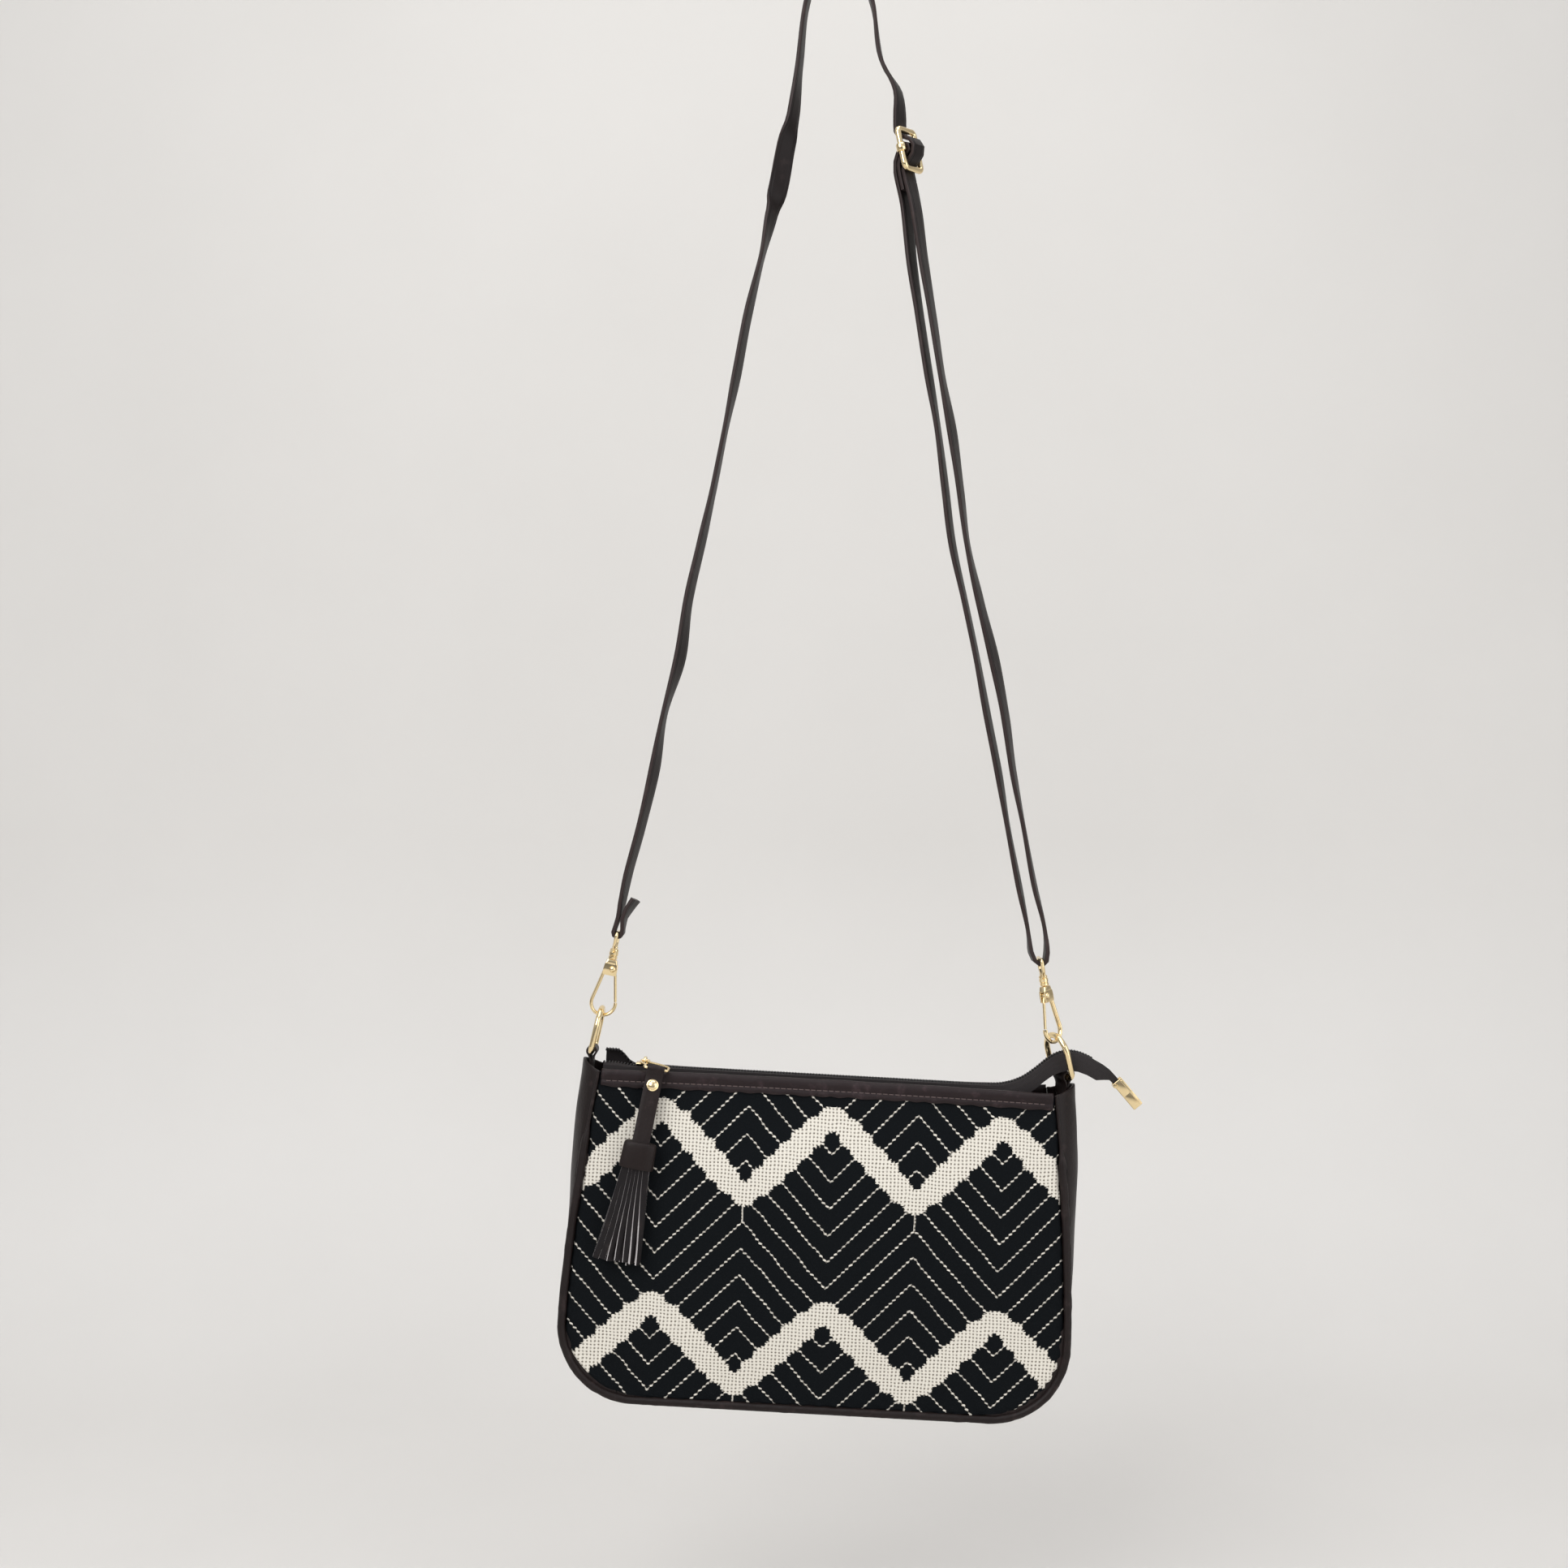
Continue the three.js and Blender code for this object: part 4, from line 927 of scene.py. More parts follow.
# The snap hook: bow, two cheeks, head and shank, then its gate and the gate's rivet
def makeHook(side):
    h = hang
    t = radians(h["bowTaper"])
    tip = (h["bowRadius"] * cos(t), h["bowRadius"] * (1 + sin(t)))
    rise = h["pivotRise"] - 2 - tip[1]
    steps = [rise * (1 - k / 8) for k in range(8)]
    bow = [(-tip[0] + step * (sin(t) / cos(t)), tip[1] + step) for step in steps]
    bow += arc(0, h["bowRadius"], h["bowRadius"], 180 - h["bowTaper"], 360 + h["bowTaper"], 40)
    arm = wire(side.hook, [(x, 0, z) for x, z in bow], h["bowWire"], (0, 1, 0), False, 1.5)
    p, top = h["pivotRise"], h["headTop"]
    cheeks = []
    for y in (-1.4, 1.4):
        sections = [(p - 3.3, 3.1, 0.25, 8), (p - 3, 3.45, 0.45, 8)]
        sections += [(p, 3.5, 0.45, 8), (p + 2.4, 3.2, 0.45, 8)]
        cheeks.append(cast(side.hook, sections, 28, (0, y)))
    shoulder = [(p + 1.7, 3.0, 1.6, 8), (p + 2.0, 3.2, 1.85, 8)]
    crown = [(top - 0.5, 2.6, 1.85, 7), (top - 0.1, 2.45, 1.7, 6), (top, 2.2, 1.5, 5)]
    block = cast(side.hook, shoulder + crown)
    shank = [(0.9, -0.6), (0.9, 6), (1.55, 6.1), (1.5, 6.7), (0.9, 6.95), (0, 7)]
    stud = lathe(side.hook, [(radius, top + z) for radius, z in shank])
    name = side.name + "_hook_body"
    goldPiece(joined(arm, *cheeks, block, stud), name, side.name + "_hook", name)

    foot = tip[0] - 0.1
    lean = sin(t) / cos(t)
    low, bend = tip[1] + 0.3, p - 3.4
    line = [(foot - (bend - low) * lean * k / 6, 0, mix(low, bend, k / 6)) for k in range(7)]
    line += [(mix(line[-1][0], h["gateX"] + 0.5, 0.5), 0, bend + 2), (h["gateX"] + 0.5, 0, p)]
    bar = wire(side.hook, line, 0.75, (0, 1, 0))
    pivot = side.hook @ moved(h["gateX"], 0, p) @ turned(90, "X")
    knuckle = lathe(pivot, mirrored([(1.1, -0.7), (1.7, -0.7), (1.8, -0.5)]))
    name = side.name + "_hook_gate"
    goldPiece(joined(bar, knuckle), name, side.name + "_gate", name)

    head = [(0, -2.75), (0.7, -2.65), (1.3, -2.3), (1.55, -1.9), (1.55, -1.82), (0.75, -1.8)]
    profile = mirrored(head)
    name = side.name + "_hook_rivet"
    goldPiece(lathe(pivot, profile, 20), name, side.name + "_hook", name)


# The eye that the strap holds, on the barrel that the hook turns in
def makeEye(side):
    h = hang
    low, half, top = h["headTop"] + 4.6, h["eyeHalfWidth"], h["hookRise"]
    outline = [(-1.7, low), (-half * 0.55, low + 1.7), (-half + 0.7, low + 3.4)]
    outline += arc(-half + 1.5, top - 1.5, 1.5, 180, 90, 8) + [(-2, top), (0, top), (2, top)]
    outline += arc(half - 1.5, top - 1.5, 1.5, 90, 0, 8)
    outline += [(half - 0.7, low + 3.4), (half * 0.55, low + 1.7), (1.7, low)]
    loop = wire(side.eye, [(0, y, z) for y, z in outline], h["eyeWire"], (1, 0, 0))
    base = h["headTop"] + 0.3
    # a turned barrel with two ridges
    outside = [(1.9, 0), (2.2, 0.25), (2.25, 1.1), (1.95, 1.35), (1.95, 1.75), (2.25, 2)]
    outside += [(2.3, 3.4), (2.05, 3.65), (2.05, 4), (2.2, 4.3), (2.0, 5.1), (1.6, 5.35)]
    profile = [(1.2, 0.1)] + outside + [(1.2, 5.3)]
    barrel = lathe(side.eye, [(r, base + z) for r, z in profile])
    name = side.name + "_swivel_eye"
    goldPiece(joined(loop, barrel), name, "strap", name)


for side in hangers:
    makeRing(side)
    makeHook(side)
    makeEye(side)
print("rings and hooks made")


# Leather strips: a flat section with soft edges, carried along points
def flatStrip(points, widths, width, thickness, corner=0.45):
    h, t, c = width / 2, thickness / 2, min(corner, thickness / 2)
    quarter = [(h, 0), (h, t - c), (h - 0.3 * c, t - 0.3 * c), (h - c, t)]
    quarter += [(h * 0.5, t * 1.02), (0, t * 1.03)]
    top = quarter + [(-x, z) for x, z in quarter[-2::-1]]
    section = top + [(x, -z) for x, z in top[-2:0:-1]]
    count = len(section)
    frames, length = [], 0.0
    for i, p in enumerate(points):
        along = (points[min(i + 1, len(points) - 1)] - points[max(i - 1, 0)]).normalized()
        way = (widths[i] - along * widths[i].dot(along)).normalized()
        frames.append((p, way, along.cross(way)))
        length += (p - points[max(i - 1, 0)]).length

    def at(along, across):
        p, way, out = frames[round(along * (len(points) - 1))]
        a, b = section[round(across * count) % count]
        return (p + way * a + out * b) * 0.001

    return laidGrid(len(points) - 1, count, at, (length * 0.001, 1), wrap=True)


def slackCurveAt(a, b, c, d, t):
    near, span, far = (max((q - p).length ** 0.5, 1e-3) for p, q in ((a, b), (b, c), (c, d)))
    start = ((b - a) / near - (c - a) / (near + span) + (c - b) / span) * span
    end = ((c - b) / span - (d - b) / (span + far) + (d - c) / far) * span
    squared, cubed = 3 * (c - b) - 2 * start - end, 2 * (b - c) + start + end
    return b + start * t + squared * t * t + cubed * t**3


# Points and width directions along keys of (point, width direction), about step apart
def followKeys(keys, step, first=0, last=None):
    last = len(keys) - 1 if last is None else last
    points, widths = [], []
    for i in range(first, last):
        b, c = keys[i][0], keys[i + 1][0]
        a = keys[i - 1][0] if i else 2 * b - c
        d = keys[i + 2][0] if i + 2 < len(keys) else 2 * c - b
        count = max(1, round((c - b).length / step))
        for k in range(count):
            points.append(slackCurveAt(a, b, c, d, k / count))
            widths.append(keys[i][1].lerp(keys[i + 1][1], smooth(k / count, 0, 1)))
    return points + [keys[last][0]], widths + [keys[last][1]]


def facing(turn):
    return Vector((cos(radians(turn)), sin(radians(turn)), 0))


adjuster = {
    "centre": (35.4, 0, -90.3),
    "lean": 12.0,
    "turn": 52.0,
    "halfHeight": 10.0,
    "halfWidth": 7.5,
    "wire": 1.5,
    "bar": 1.25,
}
lean = radians(adjuster["lean"])
down = Vector((sin(lean), 0, -cos(lean)))
barWay = facing(adjuster["turn"])
barWay = (barWay - down * barWay.dot(down)).normalized()
frontWay = barWay.cross(down).normalized()
if frontWay.y > 0:
    frontWay = -frontWay
# columns: across the adjuster, out of its front, up the strap
adjusterFrame = Matrix((barWay, frontWay, -down)).transposed().to_4x4()
adjusterFrame.translation = Vector(adjuster["centre"])


def atAdjuster(along, out, across=0.0):
    return adjusterFrame @ Vector((across, out, -along))


# A rounded frame, and a bar across it crimped round its sides
def makeAdjuster():
    s = adjuster
    h, w, r = s["halfHeight"], s["halfWidth"], 2.2
    outline = arc(r - w, h - r, r, 180, 90, 8) + [(0, h)]
    outline += arc(w - r, h - r, r, 90, 0, 8) + [(w, 0)]
    outline += arc(w - r, r - h, r, 0, -90, 8) + [(0, -h)]
    outline += arc(r - w, r - h, r, 270, 180, 8) + [(-w, 0)]
    loop = wire(adjusterFrame, [(x, 0, z) for x, z in outline], s["wire"], (0, 1, 0), True)
    goldPiece(loop, "adjusterLoop", "adjuster", "adjuster_frame")
    bar = wire(adjusterFrame, [(x, 0, 0) for x in (-w, -w / 2, 0, w / 2, w)], s["bar"], (0, 0, 1))
    crimps = []
    for x in (-w, w):
        profile = mirrored([(1.5, -1.9), (2.3, -1.85), (2.5, -1.6)])
        crimps.append(lathe(adjusterFrame @ moved(x, 0, 0), profile, 20))
    goldPiece(joined(bar, *crimps), "adjusterBar", "adjuster", "adjuster_bar")


makeAdjuster()

# The strap: over the crest, through the adjuster, round the right eye and back to the bar
strap = {
    "width": 10.0,
    "thickness": 2.0,
    "step": 3.5,
    "leftEnd": [
        (5.2, 18, 66), (2.8, 12.5, 72), (1.4, 7.5, 82), (1.9, 2.5, 90), (2.2, 0, 90),
        (1.54, -1.54, 90), (0, -2.2, 90), (-1.54, -1.54, 90), (-2.2, 0, 90), (-1.9, 2.5, 90),
        (-1.3, 8, 88), (-1.2, 15, 80),
    ],
    "leftLeg": [
        (-106.6, -456, 76), (-100.2, -432.5, 74), (-93.5, -403.8, 68), (-88.4, -375.1, 84),
        (-80.4, -346.4, 64), (-76.3, -317.8, 74), (-69.7, -289, 76), (-63.3, -260.3, 84),
        (-57.6, -231.6, 86), (-51.7, -202.9, 74), (-46.3, -174.2, 76), (-39.4, -145.5, 86),
        (-34, -122, 62), (-30.6, -108.6, 8), (-26.8, -88.1, 26), (-23.4, -73.8, 60),
        (-19.9, -45.1, 78), (-16.4, -16.4, 84), (-11.6, -4.2, 90), (0, 1, 90), (11.6, -4.2, 90),
        (16.8, -16.4, 86), (21.3, -45.1, 78),
    ],
    "through": [
        (-10, -3.1), (-7.9, -2.3), (-6, 0.6), (-3.6, 3.9), (0, 5.3), (3.6, 3.9), (6, 0.6),
        (7.9, -2.3), (10, -3.3), (15, -3.3),
    ],
    "rightLeg": [
        (38.6, -119, 56), (42.4, -145.5, 62), (47.1, -174.2, 68), (51.5, -202.9, 72),
        (56.8, -231.6, 62), (60.9, -260.3, 70), (64.6, -289, 76), (70.9, -317.8, 66),
        (77.9, -346.4, 58), (83.6, -375.1, 66), (87.7, -403.8, 72), (93.1, -432.5, 80),
        (98.4, -461.2, 76), (103.6, -483, 82),
    ],
    "rightEye": [(3.4, 3), (2.9, -0.8), (1.5, -2.2), (-0.6, -2.4), (-2.9, -0.6), (-4.6, 3.4)],
    "return": [
        (95.2, -484, 82), (90.6, -461.2, 74), (85.1, -432.5, 78), (80.2, -403.8, 70),
        (74.6, -375.1, 70), (69.3, -346.4, 74), (63.3, -317.8, 74), (57, -289, 70),
        (53.4, -260.3, 70), (49.8, -231.6, 74), (45, -202.9, 66), (40.6, -174.2, 66),
        (36.4, -145.5, 60),
    ],
    "fold": [
        (26, -8.2), (15, -8.2), (9, -8.1), (4, -6.8), (1, -4.7), (-1.35, -2.35), (-2.7, 0),
        (-1.35, 2.35), (1.35, 2.35), (2.7, 0), (1.95, -1.95), (3.7, -3.9), (6.2, -5.3),
        (10, -5.75), (19, -5.75),
    ],
}


def strapKeys():
    s = strap
    left, right = hangers
    beside = Vector((left.up.z, 0, -left.up.x))
    keys = [(left.eyeBar + left.up * b + beside * a, facing(t)) for a, b, t in s["leftEnd"]]
    keys += [(Vector((x, 0, z)), facing(t)) for x, z, t in s["leftLeg"]]
    keys += [(atAdjuster(-30, 0.5), facing(64)), (atAdjuster(-17, -1.6), facing(54))]
    keys += [(atAdjuster(a, b), barWay) for a, b in s["through"]]
    keys += [(Vector((x, 0, z)), facing(t)) for x, z, t in s["rightLeg"]]
    keys += [(right.eyeBar + Vector((x, 0, z)), facing(90)) for x, z in s["rightEye"]]
    keys += [(Vector((x, 0, z)), facing(t)) for x, z, t in s["return"]]
    keys += [(atAdjuster(a, b), barWay) for a, b in s["fold"]]
    return keys


# Three lengths: over the crest, down to the adjuster, and doubled below it
def makeStrap():
    s = strap
    keys = strapKeys()
    crest, leaving = 33, 46
    spans = [("strapOver", 0, crest), ("strapDown", crest, leaving)]
    for name, first, last in spans + [("strapDoubled", leaving, None)]:
        points, widths = followKeys(keys, s["step"], first, last)
        strip = flatStrip(points, widths, s["width"], s["thickness"])
        piece = finishPiece(strip, name, None, strapLeather, ())
        if name == "strapOver":
            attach(piece, "strap")
            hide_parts("strap")
        elif name == "strapDown":
            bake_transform(piece)
        else:
            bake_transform(piece)


makeStrap()
print("strap made")

# Ring tabs: leather round the ring's bar, its legs sewn into the gusset's hem
tabs = {"width": 10.0, "leather": 1.0, "legs": 14.0}


def makeTab(side):
    s = tabs
    mid = hang["ringWire"] + 0.3 + s["leather"] / 2
    inner = s["leather"] / 2 + 0.02
    loop = [(inner, -s["legs"]), (inner, -8), (inner, -4.2), (inner + 0.4, -2.8)]
    loop += arc(0, 0, mid, -48, 228, 18) + [(-x, z) for x, z in loop[::-1]]
    points, widths = [], []
    for x, z in loop:
        twist = radians(side.turn) * smooth(z, 1 - s["legs"], 5 - s["legs"])
        turn = Matrix.Rotation(twist, 3, "Z")
        points.append(side.seat @ (turn @ Vector((x, 0, z))))
        widths.append(axisOf(side.seat, turn @ Vector((0, 1, 0))))
    name = side.name + "_ring_tab"
    strip = flatStrip(points, widths, s["width"], s["leather"] * 0.96, 0.3)
    finishPiece(strip, name, "bag", bodyLeather, [name])


for side in hangers:
    makeTab(side)

# Pull and tassel, hanging from the zip's puller and leaning out over the panel
pull = {
    "slider": (-92.0, 0, 0.6),
    "bar": (6.6, -15.0, 1.2),
    "lean": 8.0,
    "slope": 14.5,
    "tasselSlope": 2.5,
    "wire": 0.65,
    "halfWidth": 5.8,
    "width": 8.6,
    "length": 36.0,
    "leather": 1.0,
    "rivetDrop": 8.2,
    "rivet": 2.9,
    "cap": (17.0, 8.0, 13.0),
    "fringe": 47.0,
    "fringeWidth": 24.0,
}
sliderFrame = bagFrame @ moved(*pull["slider"])
hanging = sliderFrame @ moved(*pull["bar"]) @ turned(pull["lean"], "Y")
pullFrame = hanging @ turned(-pull["slope"], "X")
pullEnd = turned(-pull["slope"], "X") @ Vector((0, 0, -pull["length"]))
capFrame = hanging @ moved(*pullEnd) @ turned(-pull["tasselSlope"], "X")


# The wire loop between the slider's bridge and the pull's fold
def makePuller():
    s = pull
    neck, half, (barX, barY, barZ) = 1.95, s["halfWidth"], s["bar"]
    lift = 0.9 + 0.8 + s["wire"] + 0.35
    right, left, flare = barX + half, barX - half, half * 0.8
    outline = [(0, 0), (neck - 0.4, 0), (neck, -0.5), (neck, -2), (neck, -3.6)]
    outline += [(barX * 0.62 + flare, -7.2), (right, -10), (right, -12.5), (right, barY + 0.8)]
    outline += [(right - 0.7, barY), (barX + 2, barY), (barX, barY), (barX - 2, barY)]
    outline += [(left + 0.7, barY), (left, barY + 0.8), (left, -12.5), (left, -10)]
    outline += [(barX * 0.35 - half * 0.55, -7.2), (-neck, -3.6), (-neck, -2), (-neck, -0.5)]
    outline += [(0.4 - neck, 0)]
    points = []
    for x, y in outline:
        toBar = barZ + (barX - x) * sin(radians(s["lean"]))
        points.append((x, y, mix(lift, toBar, y / barY)))
    loop = wire(sliderFrame, smoothLine(points, 110, True), s["wire"], (0, 0, 1), True)
    goldPiece(loop, "pullerLoop", "zip_puller", "zip_puller")


# The folded leather pull and its domed rivet
def makePull():
    s = pull
    mid = s["wire"] + 0.3 + s["leather"] / 2
    leaf = s["leather"] / 2 + 0.02
    side = [(leaf, z) for z in (-39.0, -30, -20, -12, -6, -3.6)] + [(leaf + 0.35, -2.2)]
    loop = side + arc(0, 0, mid, -48, 228, 18) + [(-y, z) for y, z in side[::-1]]
    points = put(pullFrame, [(0, y, z) for y, z in loop])
    points = [p * 1000 for p in points]
    widths = [axisOf(pullFrame, (1, 0, 0))] * len(points)
    strip = flatStrip(points, widths, s["width"], s["leather"] * 0.97, 0.28)
    finishPiece(strip, "pullStrip", "tassel", pullLeather, ["pull_strap"])
    r = s["rivet"]
    head = [(0, 2.25), (r * 0.3, 2.2), (r * 0.6, 1.95), (r * 0.8, 1.6), (r * 0.84, 1.5)]
    head += [(r * 0.9, 1.6), (r, 1.5), (r * 1.02, 1.2), (1, 1.1)]
    foot = [(1, -1.1), (2.1, -1.1), (2.2, -1.3), (2.1, -1.55), (0, -1.6)]
    rivet = lathe(pullFrame @ moved(0, 0, -s["rivetDrop"]) @ turned(90, "X"), head + foot, 32)
    goldPiece(rivet, "pullRivet", "tassel", "pull_rivet")


def makeCap():
    width, depth, height = pull["cap"]
    w, d = width / 2, depth / 2
    # height, share of the half width and of the half depth; rounded over at the top, open below
    rings = [(-0.9, 0.5, 0.35), (-0.2, 0.72, 0.6), (-0.15, 0.84, 0.74), (-0.6, 0.91, 0.86)]
    rings += [(-1.6, 0.95, 0.94), (-3.2, 0.965, 0.98), (-6, 0.975, 1), (-9, 0.985, 1.01)]
    rings += [(-12.2, 1, 1.02), (-13, 0.985, 1), (-13, 0.87, 0.76), (-6, 0.85, 0.74)]
    powers = [2.3, 2.4] + [2.5] * 10
    sections = [(z, w * wide, d * deep, power) for (z, wide, deep), power in zip(rings, powers)]
    cap = cast(capFrame, sections, 64)
    finishPiece(cap, "tasselCap", "tassel", pullLeather, ["tassel_cap"], 50)


# Rows of cut strips, wide apart at the ends
def makeFringe():
    s = pull
    width, depth, height = s["cap"]
    strips = []
    for row, count in ((-1.6, 7), (-0.8, 6), (0, 7), (0.8, 6), (1.6, 7)):
        for i in range(count):
            f = (i + 0.5) / count - 0.5
            drift = wobble(i * 3.1, row * 5, 0, 2.3)
            low = f * s["fringeWidth"] + 0.5 * drift
            end = -height - s["fringe"] + 1.4 + 2.2 * wobble(i * 1.7, row * 3, 4, 1.9)
            half = s["fringeWidth"] / 7 * 0.47
            twist = 30 * wobble(i * 2.3, row * 2.1, 9, 1.3) + 24 + f * 74
            points, widths = [], []
            for k in range(12):
                t = k / 11
                x = mix(f * (width - 5.5), low, t**1.15) + 0.5 * sin(t * 5 + i + row) * t
                y = row * mix(0.95, 1.45, t) + 0.35 * sin(t * 4 + 2 * i) * t
                points.append(capFrame @ Vector((x, y, mix(-height + 4, end, t))))
                widths.append(axisOf(capFrame, facing(twist * t)))
            strip = flatStrip(points, widths, 2 * half * 0.93, 0.95, 0.12)
            strips.append(strip)
    whole, suede = joined(*strips), [fringeLeather, cutEdge]
    piece = finishPiece(whole, "tasselFringe", "tassel", suede, ["tassel_fringe"])
    # cut edges show the pale core
    uvs = piece.data.uv_layers["surface"].data
    for polygon in piece.data.polygons:
        middle = sum(uvs[k].uv.y for k in polygon.loop_indices) / polygon.loop_total
        if len(polygon.vertices) == 4 and abs((middle % 0.5) - 0.25) > 0.155:
            polygon.material_index = 1


makePuller()
makePull()
makeCap()
makeFringe()
print("pull and tassel made")

# Zip: teeth along the chain, the slider, and the clip over the tail's end
zipper = {
    "pitch": 1.5,
    "mouth": (-112.5, -108, -104, -100, -96, -92, -88, -80, -60, -40, -20, 0, 20, 40, 56),
    "tail": [
        (72, 0.6), (88, 1.5), (98, 5), (105, 10.2), (113, 17), (121, 19.8), (130, 18),
        (139, 12.6), (145, 6.9), (150.5, 1),
    ],
    "tooth": [
        (0.1, 0, 0), (0.35, 0.85, 0.05), (1.1, 1, 0.15), (1.75, 0.5, 0.3), (2.0, 0, 0.4),
        (1.75, -0.5, 0.5), (0.5, -1, 0.6),
    ],
    "toothHeight": 0.52,
    "toothEnd": 133.0,
    "parting": (-91.0, -96.7),
    "sliderHalf": (4.5, 3.4),
    "plateLevel": 0.9,
    "plate": 0.8,
    "clip": (17.0, 4.0, 5.5),
    "clipTurn": 47.0,
}


def makeTeeth(front, node, name):
    s = zipper
    line = smoothLine([(x, 0, 0.6) for x in s["mouth"]] + [(x, 0, z) for x, z in s["tail"]], 1100)
    teeth, travelled = [], 0.0
    wanted = 0.0 if front < 0 else s["pitch"] / 2
    for a, b in zip(line, line[1:]):
        travelled += (b - a).length
        if travelled < wanted or b.x > s["toothEnd"]:
            continue
        wanted += s["pitch"]
        along = (b - a).normalized()
        rise = Vector((-along.z, 0, along.x))
        parted = smooth(s["parting"][0] - b.x, 0, 15)
        lift = smooth(s["parting"][1] - b.x, 0, 10) * (7 if front > 0 else 1.4)
        base = b + Vector((0, front * (2.6 * parted - 0.3), lift))
        points = []
        for reach, height, lag in s["tooth"]:
            out = Vector((0, front * reach, 0))
            points.append(base + out + rise * (height * s["toothHeight"]) - along * lag)
        teeth.append(wire(bagFrame, points, 0.36, along, False, 1.0, 6))
    finishPiece(joined(*teeth), name, "bag", zipCoil, [node])


# Two plates round the coil, a wedge where it parts, and a bridge
def makeSlider():
    s = zipper
    long, wide = s["sliderHalf"]
    level, wall = s["plateLevel"], s["plate"]
    parts = []
    for low in (level, -level - wall):
        bm = slab(Matrix(), (-long, -wide, low), (long, wide, low + wall), 0.34)
        for vert in bm.verts:
            if vert.co.x > 0:
                vert.co.y *= 1 - 0.26 * smooth(vert.co.x, 0, long * 0.001)
            vert.co = sliderFrame @ (vert.co * 1000) * 0.001
        parts.append(bm)
    wedge = [(0.75, -level - 0.3), (0.75, level + 0.3)]
    parts.append(lathe(sliderFrame @ moved(0.6 - long, 0, 0), wedge, 16))
    foot, top = level + wall - 0.2, level + wall + 2.45
    bridge = [(-2.2, foot), (-2.2, foot + 1.3), (-1.7, top - 0.15), (0, top)]
    bridge = [(0, y, z) for y, z in bridge] + [(0, -y, z) for y, z in bridge[-2::-1]]
    parts.append(wire(sliderFrame, smoothLine(bridge, 26), 0.48, (1, 0, 0), False, 1.7))
    goldPiece(joined(*parts), "zipSlider", "zip_slider", "zip_slider")


# A channel folded over the tape, with a rail along its top and a boss through it
def makeClip():
    length, thick, width = zipper["clip"]
    clipFrame = bagFrame @ moved(zipper["tail"][-1][0], 0, zipper["tail"][-1][1])
    clipFrame = clipFrame @ turned(zipper["clipTurn"], "Y") @ moved(length / 2 - 7, 0, 0.3)
    back, face, half = -length / 2, thick / 2, width / 2
    rail = half - 0.5
    boss = clipFrame @ moved(back + 1.5, 0, 0.4 - half) @ turned(90, "X")
    parts = [
        slab(clipFrame, (back + 8.2, -face, -half), (length / 2, face, half), 0.45),
        slab(clipFrame, (back, -face, -half), (back + 9, -face + 0.75, half), 0.3),
        slab(clipFrame, (back, face - 0.75, -half), (back + 9, face, half), 0.3),
        slab(clipFrame, (back, -face, half - 0.85), (length / 2 - 0.4, face, half), 0.35),
        slab(clipFrame, (back + 1, -face - 0.22, rail - 1), (-back - 1, -face + 0.2, rail), 0.18),
        lathe(boss, mirrored([(0, -2.5), (0.9, -2.45), (1.1, -2.2)]), 20),
    ]
    goldPiece(joined(*parts), "zipEndClip", "bag", "zip_end_clip")


makeTeeth(-1, "zip_coil_front", "frontTeeth")
makeTeeth(1, "zip_coil_back", "backTeeth")
makeSlider()
makeClip()
print("zip made")


# CAD nodes that stay get a material
def dress(name, material):
    piece = nodes[name]
    piece.data.materials.clear()
    piece.data.materials.append(material)
    for polygon in piece.data.polygons:
        polygon.material_index = 0


finishes = {
    liningCloth: ["lining"],
    zipTape: ["zip_tape_front", "zip_tape_back"],
}
for finish, names in finishes.items():
    for name in names:
        dress(name, finish)

# Studio: pale floor and wall, soft light, and the camera straight ahead of the bag
studio = {
    "camera": (-0.0279, -0.860, -0.4104),
    "view": 49.43,
    "floor": -0.86,
    "wall": 0.75,
    "key": ((-0.9, -1.3, 0.5), 17.0, 1.2),
    "fill": ((1.2, -1.0, -0.2), 8.0, 1.4),
    "top": ((0.0, -0.2, 0.9), 8.0, 1.2),
    "backdrop": ((0.66, 0.64, 0.61, 1), (0.72, 0.70, 0.67, 1)),
    "air": ((0.10, 0.10, 0.10, 1), (0.98, 1.0, 1.05, 1)),  # below and above
    "airStrength": 0.62,
}


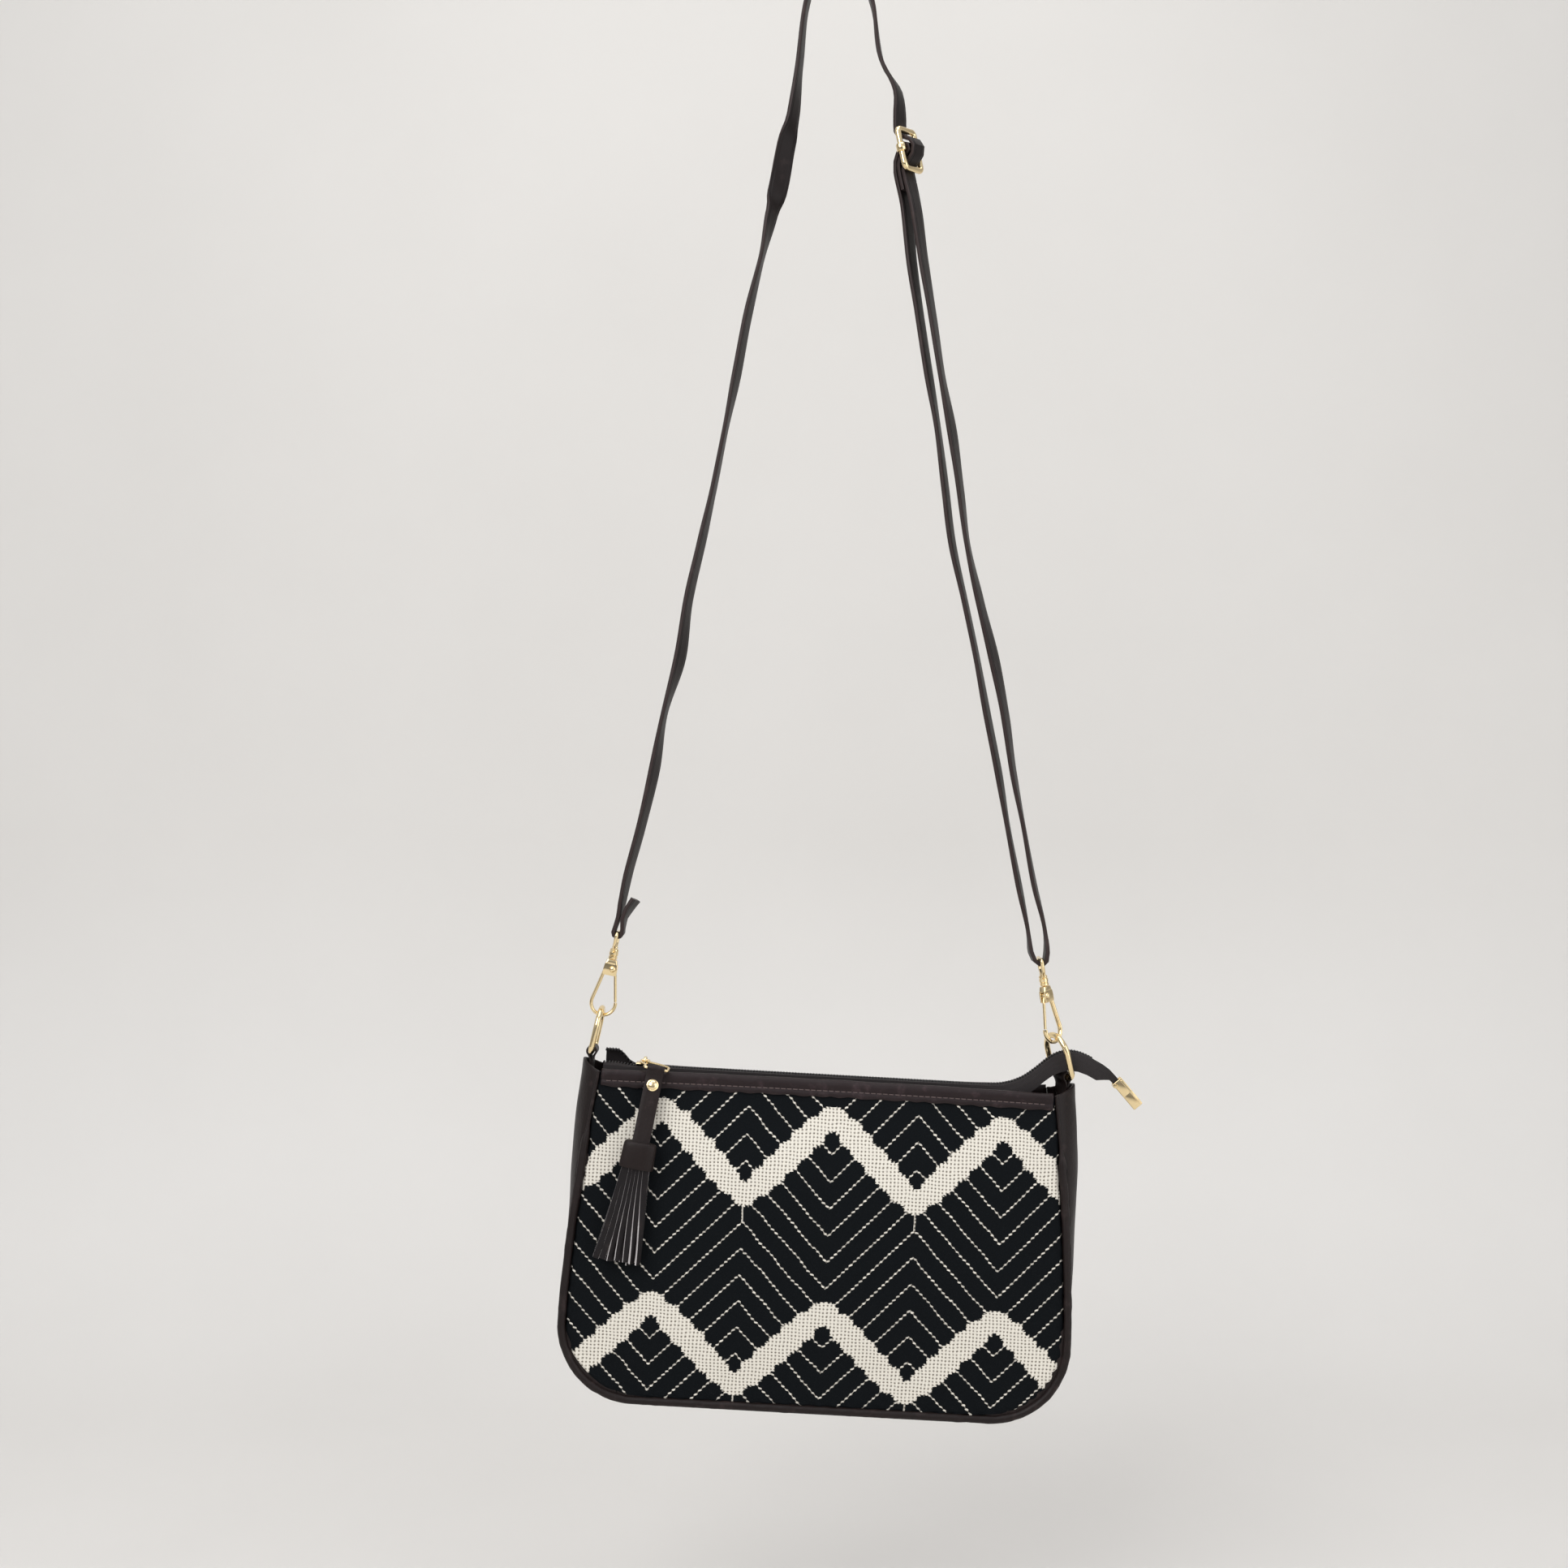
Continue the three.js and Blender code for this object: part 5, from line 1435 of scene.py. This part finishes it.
def makeStudio():
    camera = bpy.data.cameras.new("photoCamera")
    camera.angle = radians(studio["view"])
    camera.clip_start = 0.01
    holder = bpy.data.objects.new("photoCamera", camera)
    holder.location = studio["camera"]
    holder.rotation_euler = (radians(90), 0, 0)
    bpy.context.scene.collection.objects.link(holder)
    bpy.context.scene.camera = holder

    bm = bmesh.new()
    bmesh.ops.create_grid(bm, x_segments=2, y_segments=48, size=1)
    for vert in bm.verts:
        t = (vert.co.y + 1) / 2
        if t < 0.5:
            y, z = mix(-2.5, studio["wall"] - 0.4, t * 2), studio["floor"]
        elif t < 0.75:
            a = (t - 0.5) * 4 * pi / 2
            y, z = studio["wall"] - 0.4 + 0.4 * sin(a), studio["floor"] + 0.4 * (1 - cos(a))
        else:
            y, z = studio["wall"], mix(studio["floor"] + 0.4, 2.0, (t - 0.75) * 4)
        vert.co = Vector((vert.co.x * 9, y, z))
    made = newMaterial("paleBackdrop", 0.9)
    shade = noiseAt(made[1], objectCoordinates(made[1]), 3.0)
    colour = blendColours(made[1], shade, *studio["backdrop"])
    finishPiece(bm, "backdrop", None, finishMaterial(made, colour))

    for name in ("key", "fill", "top"):
        place, power, size = studio[name]
        light = bpy.data.lights.new(name, "AREA")
        light.energy = power
        light.size = size
        lamp = bpy.data.objects.new(name, light)
        lamp.location = place
        aim = Vector((0, 0, -0.45)) - Vector(place)
        lamp.rotation_euler = aim.to_track_quat("-Z", "Y").to_euler()
        bpy.context.scene.collection.objects.link(lamp)
    world = bpy.data.worlds.new("studioAir")
    world.use_nodes = True
    air = world.node_tree
    level = air.nodes.new("ShaderNodeSeparateXYZ")
    air.links.new(air.nodes.new("ShaderNodeTexCoord").outputs["Generated"], level.inputs[0])
    height = stepBetween(air, level.outputs[2], -0.35, 0.45)
    sky = blendColours(air, height, *studio["air"])
    air.links.new(sky, air.nodes["Background"].inputs[0])
    air.nodes["Background"].inputs[1].default_value = studio["airStrength"]
    bpy.context.scene.world = world
    bpy.context.scene.view_settings.view_transform = "Standard"


makeStudio()
print("studio made")
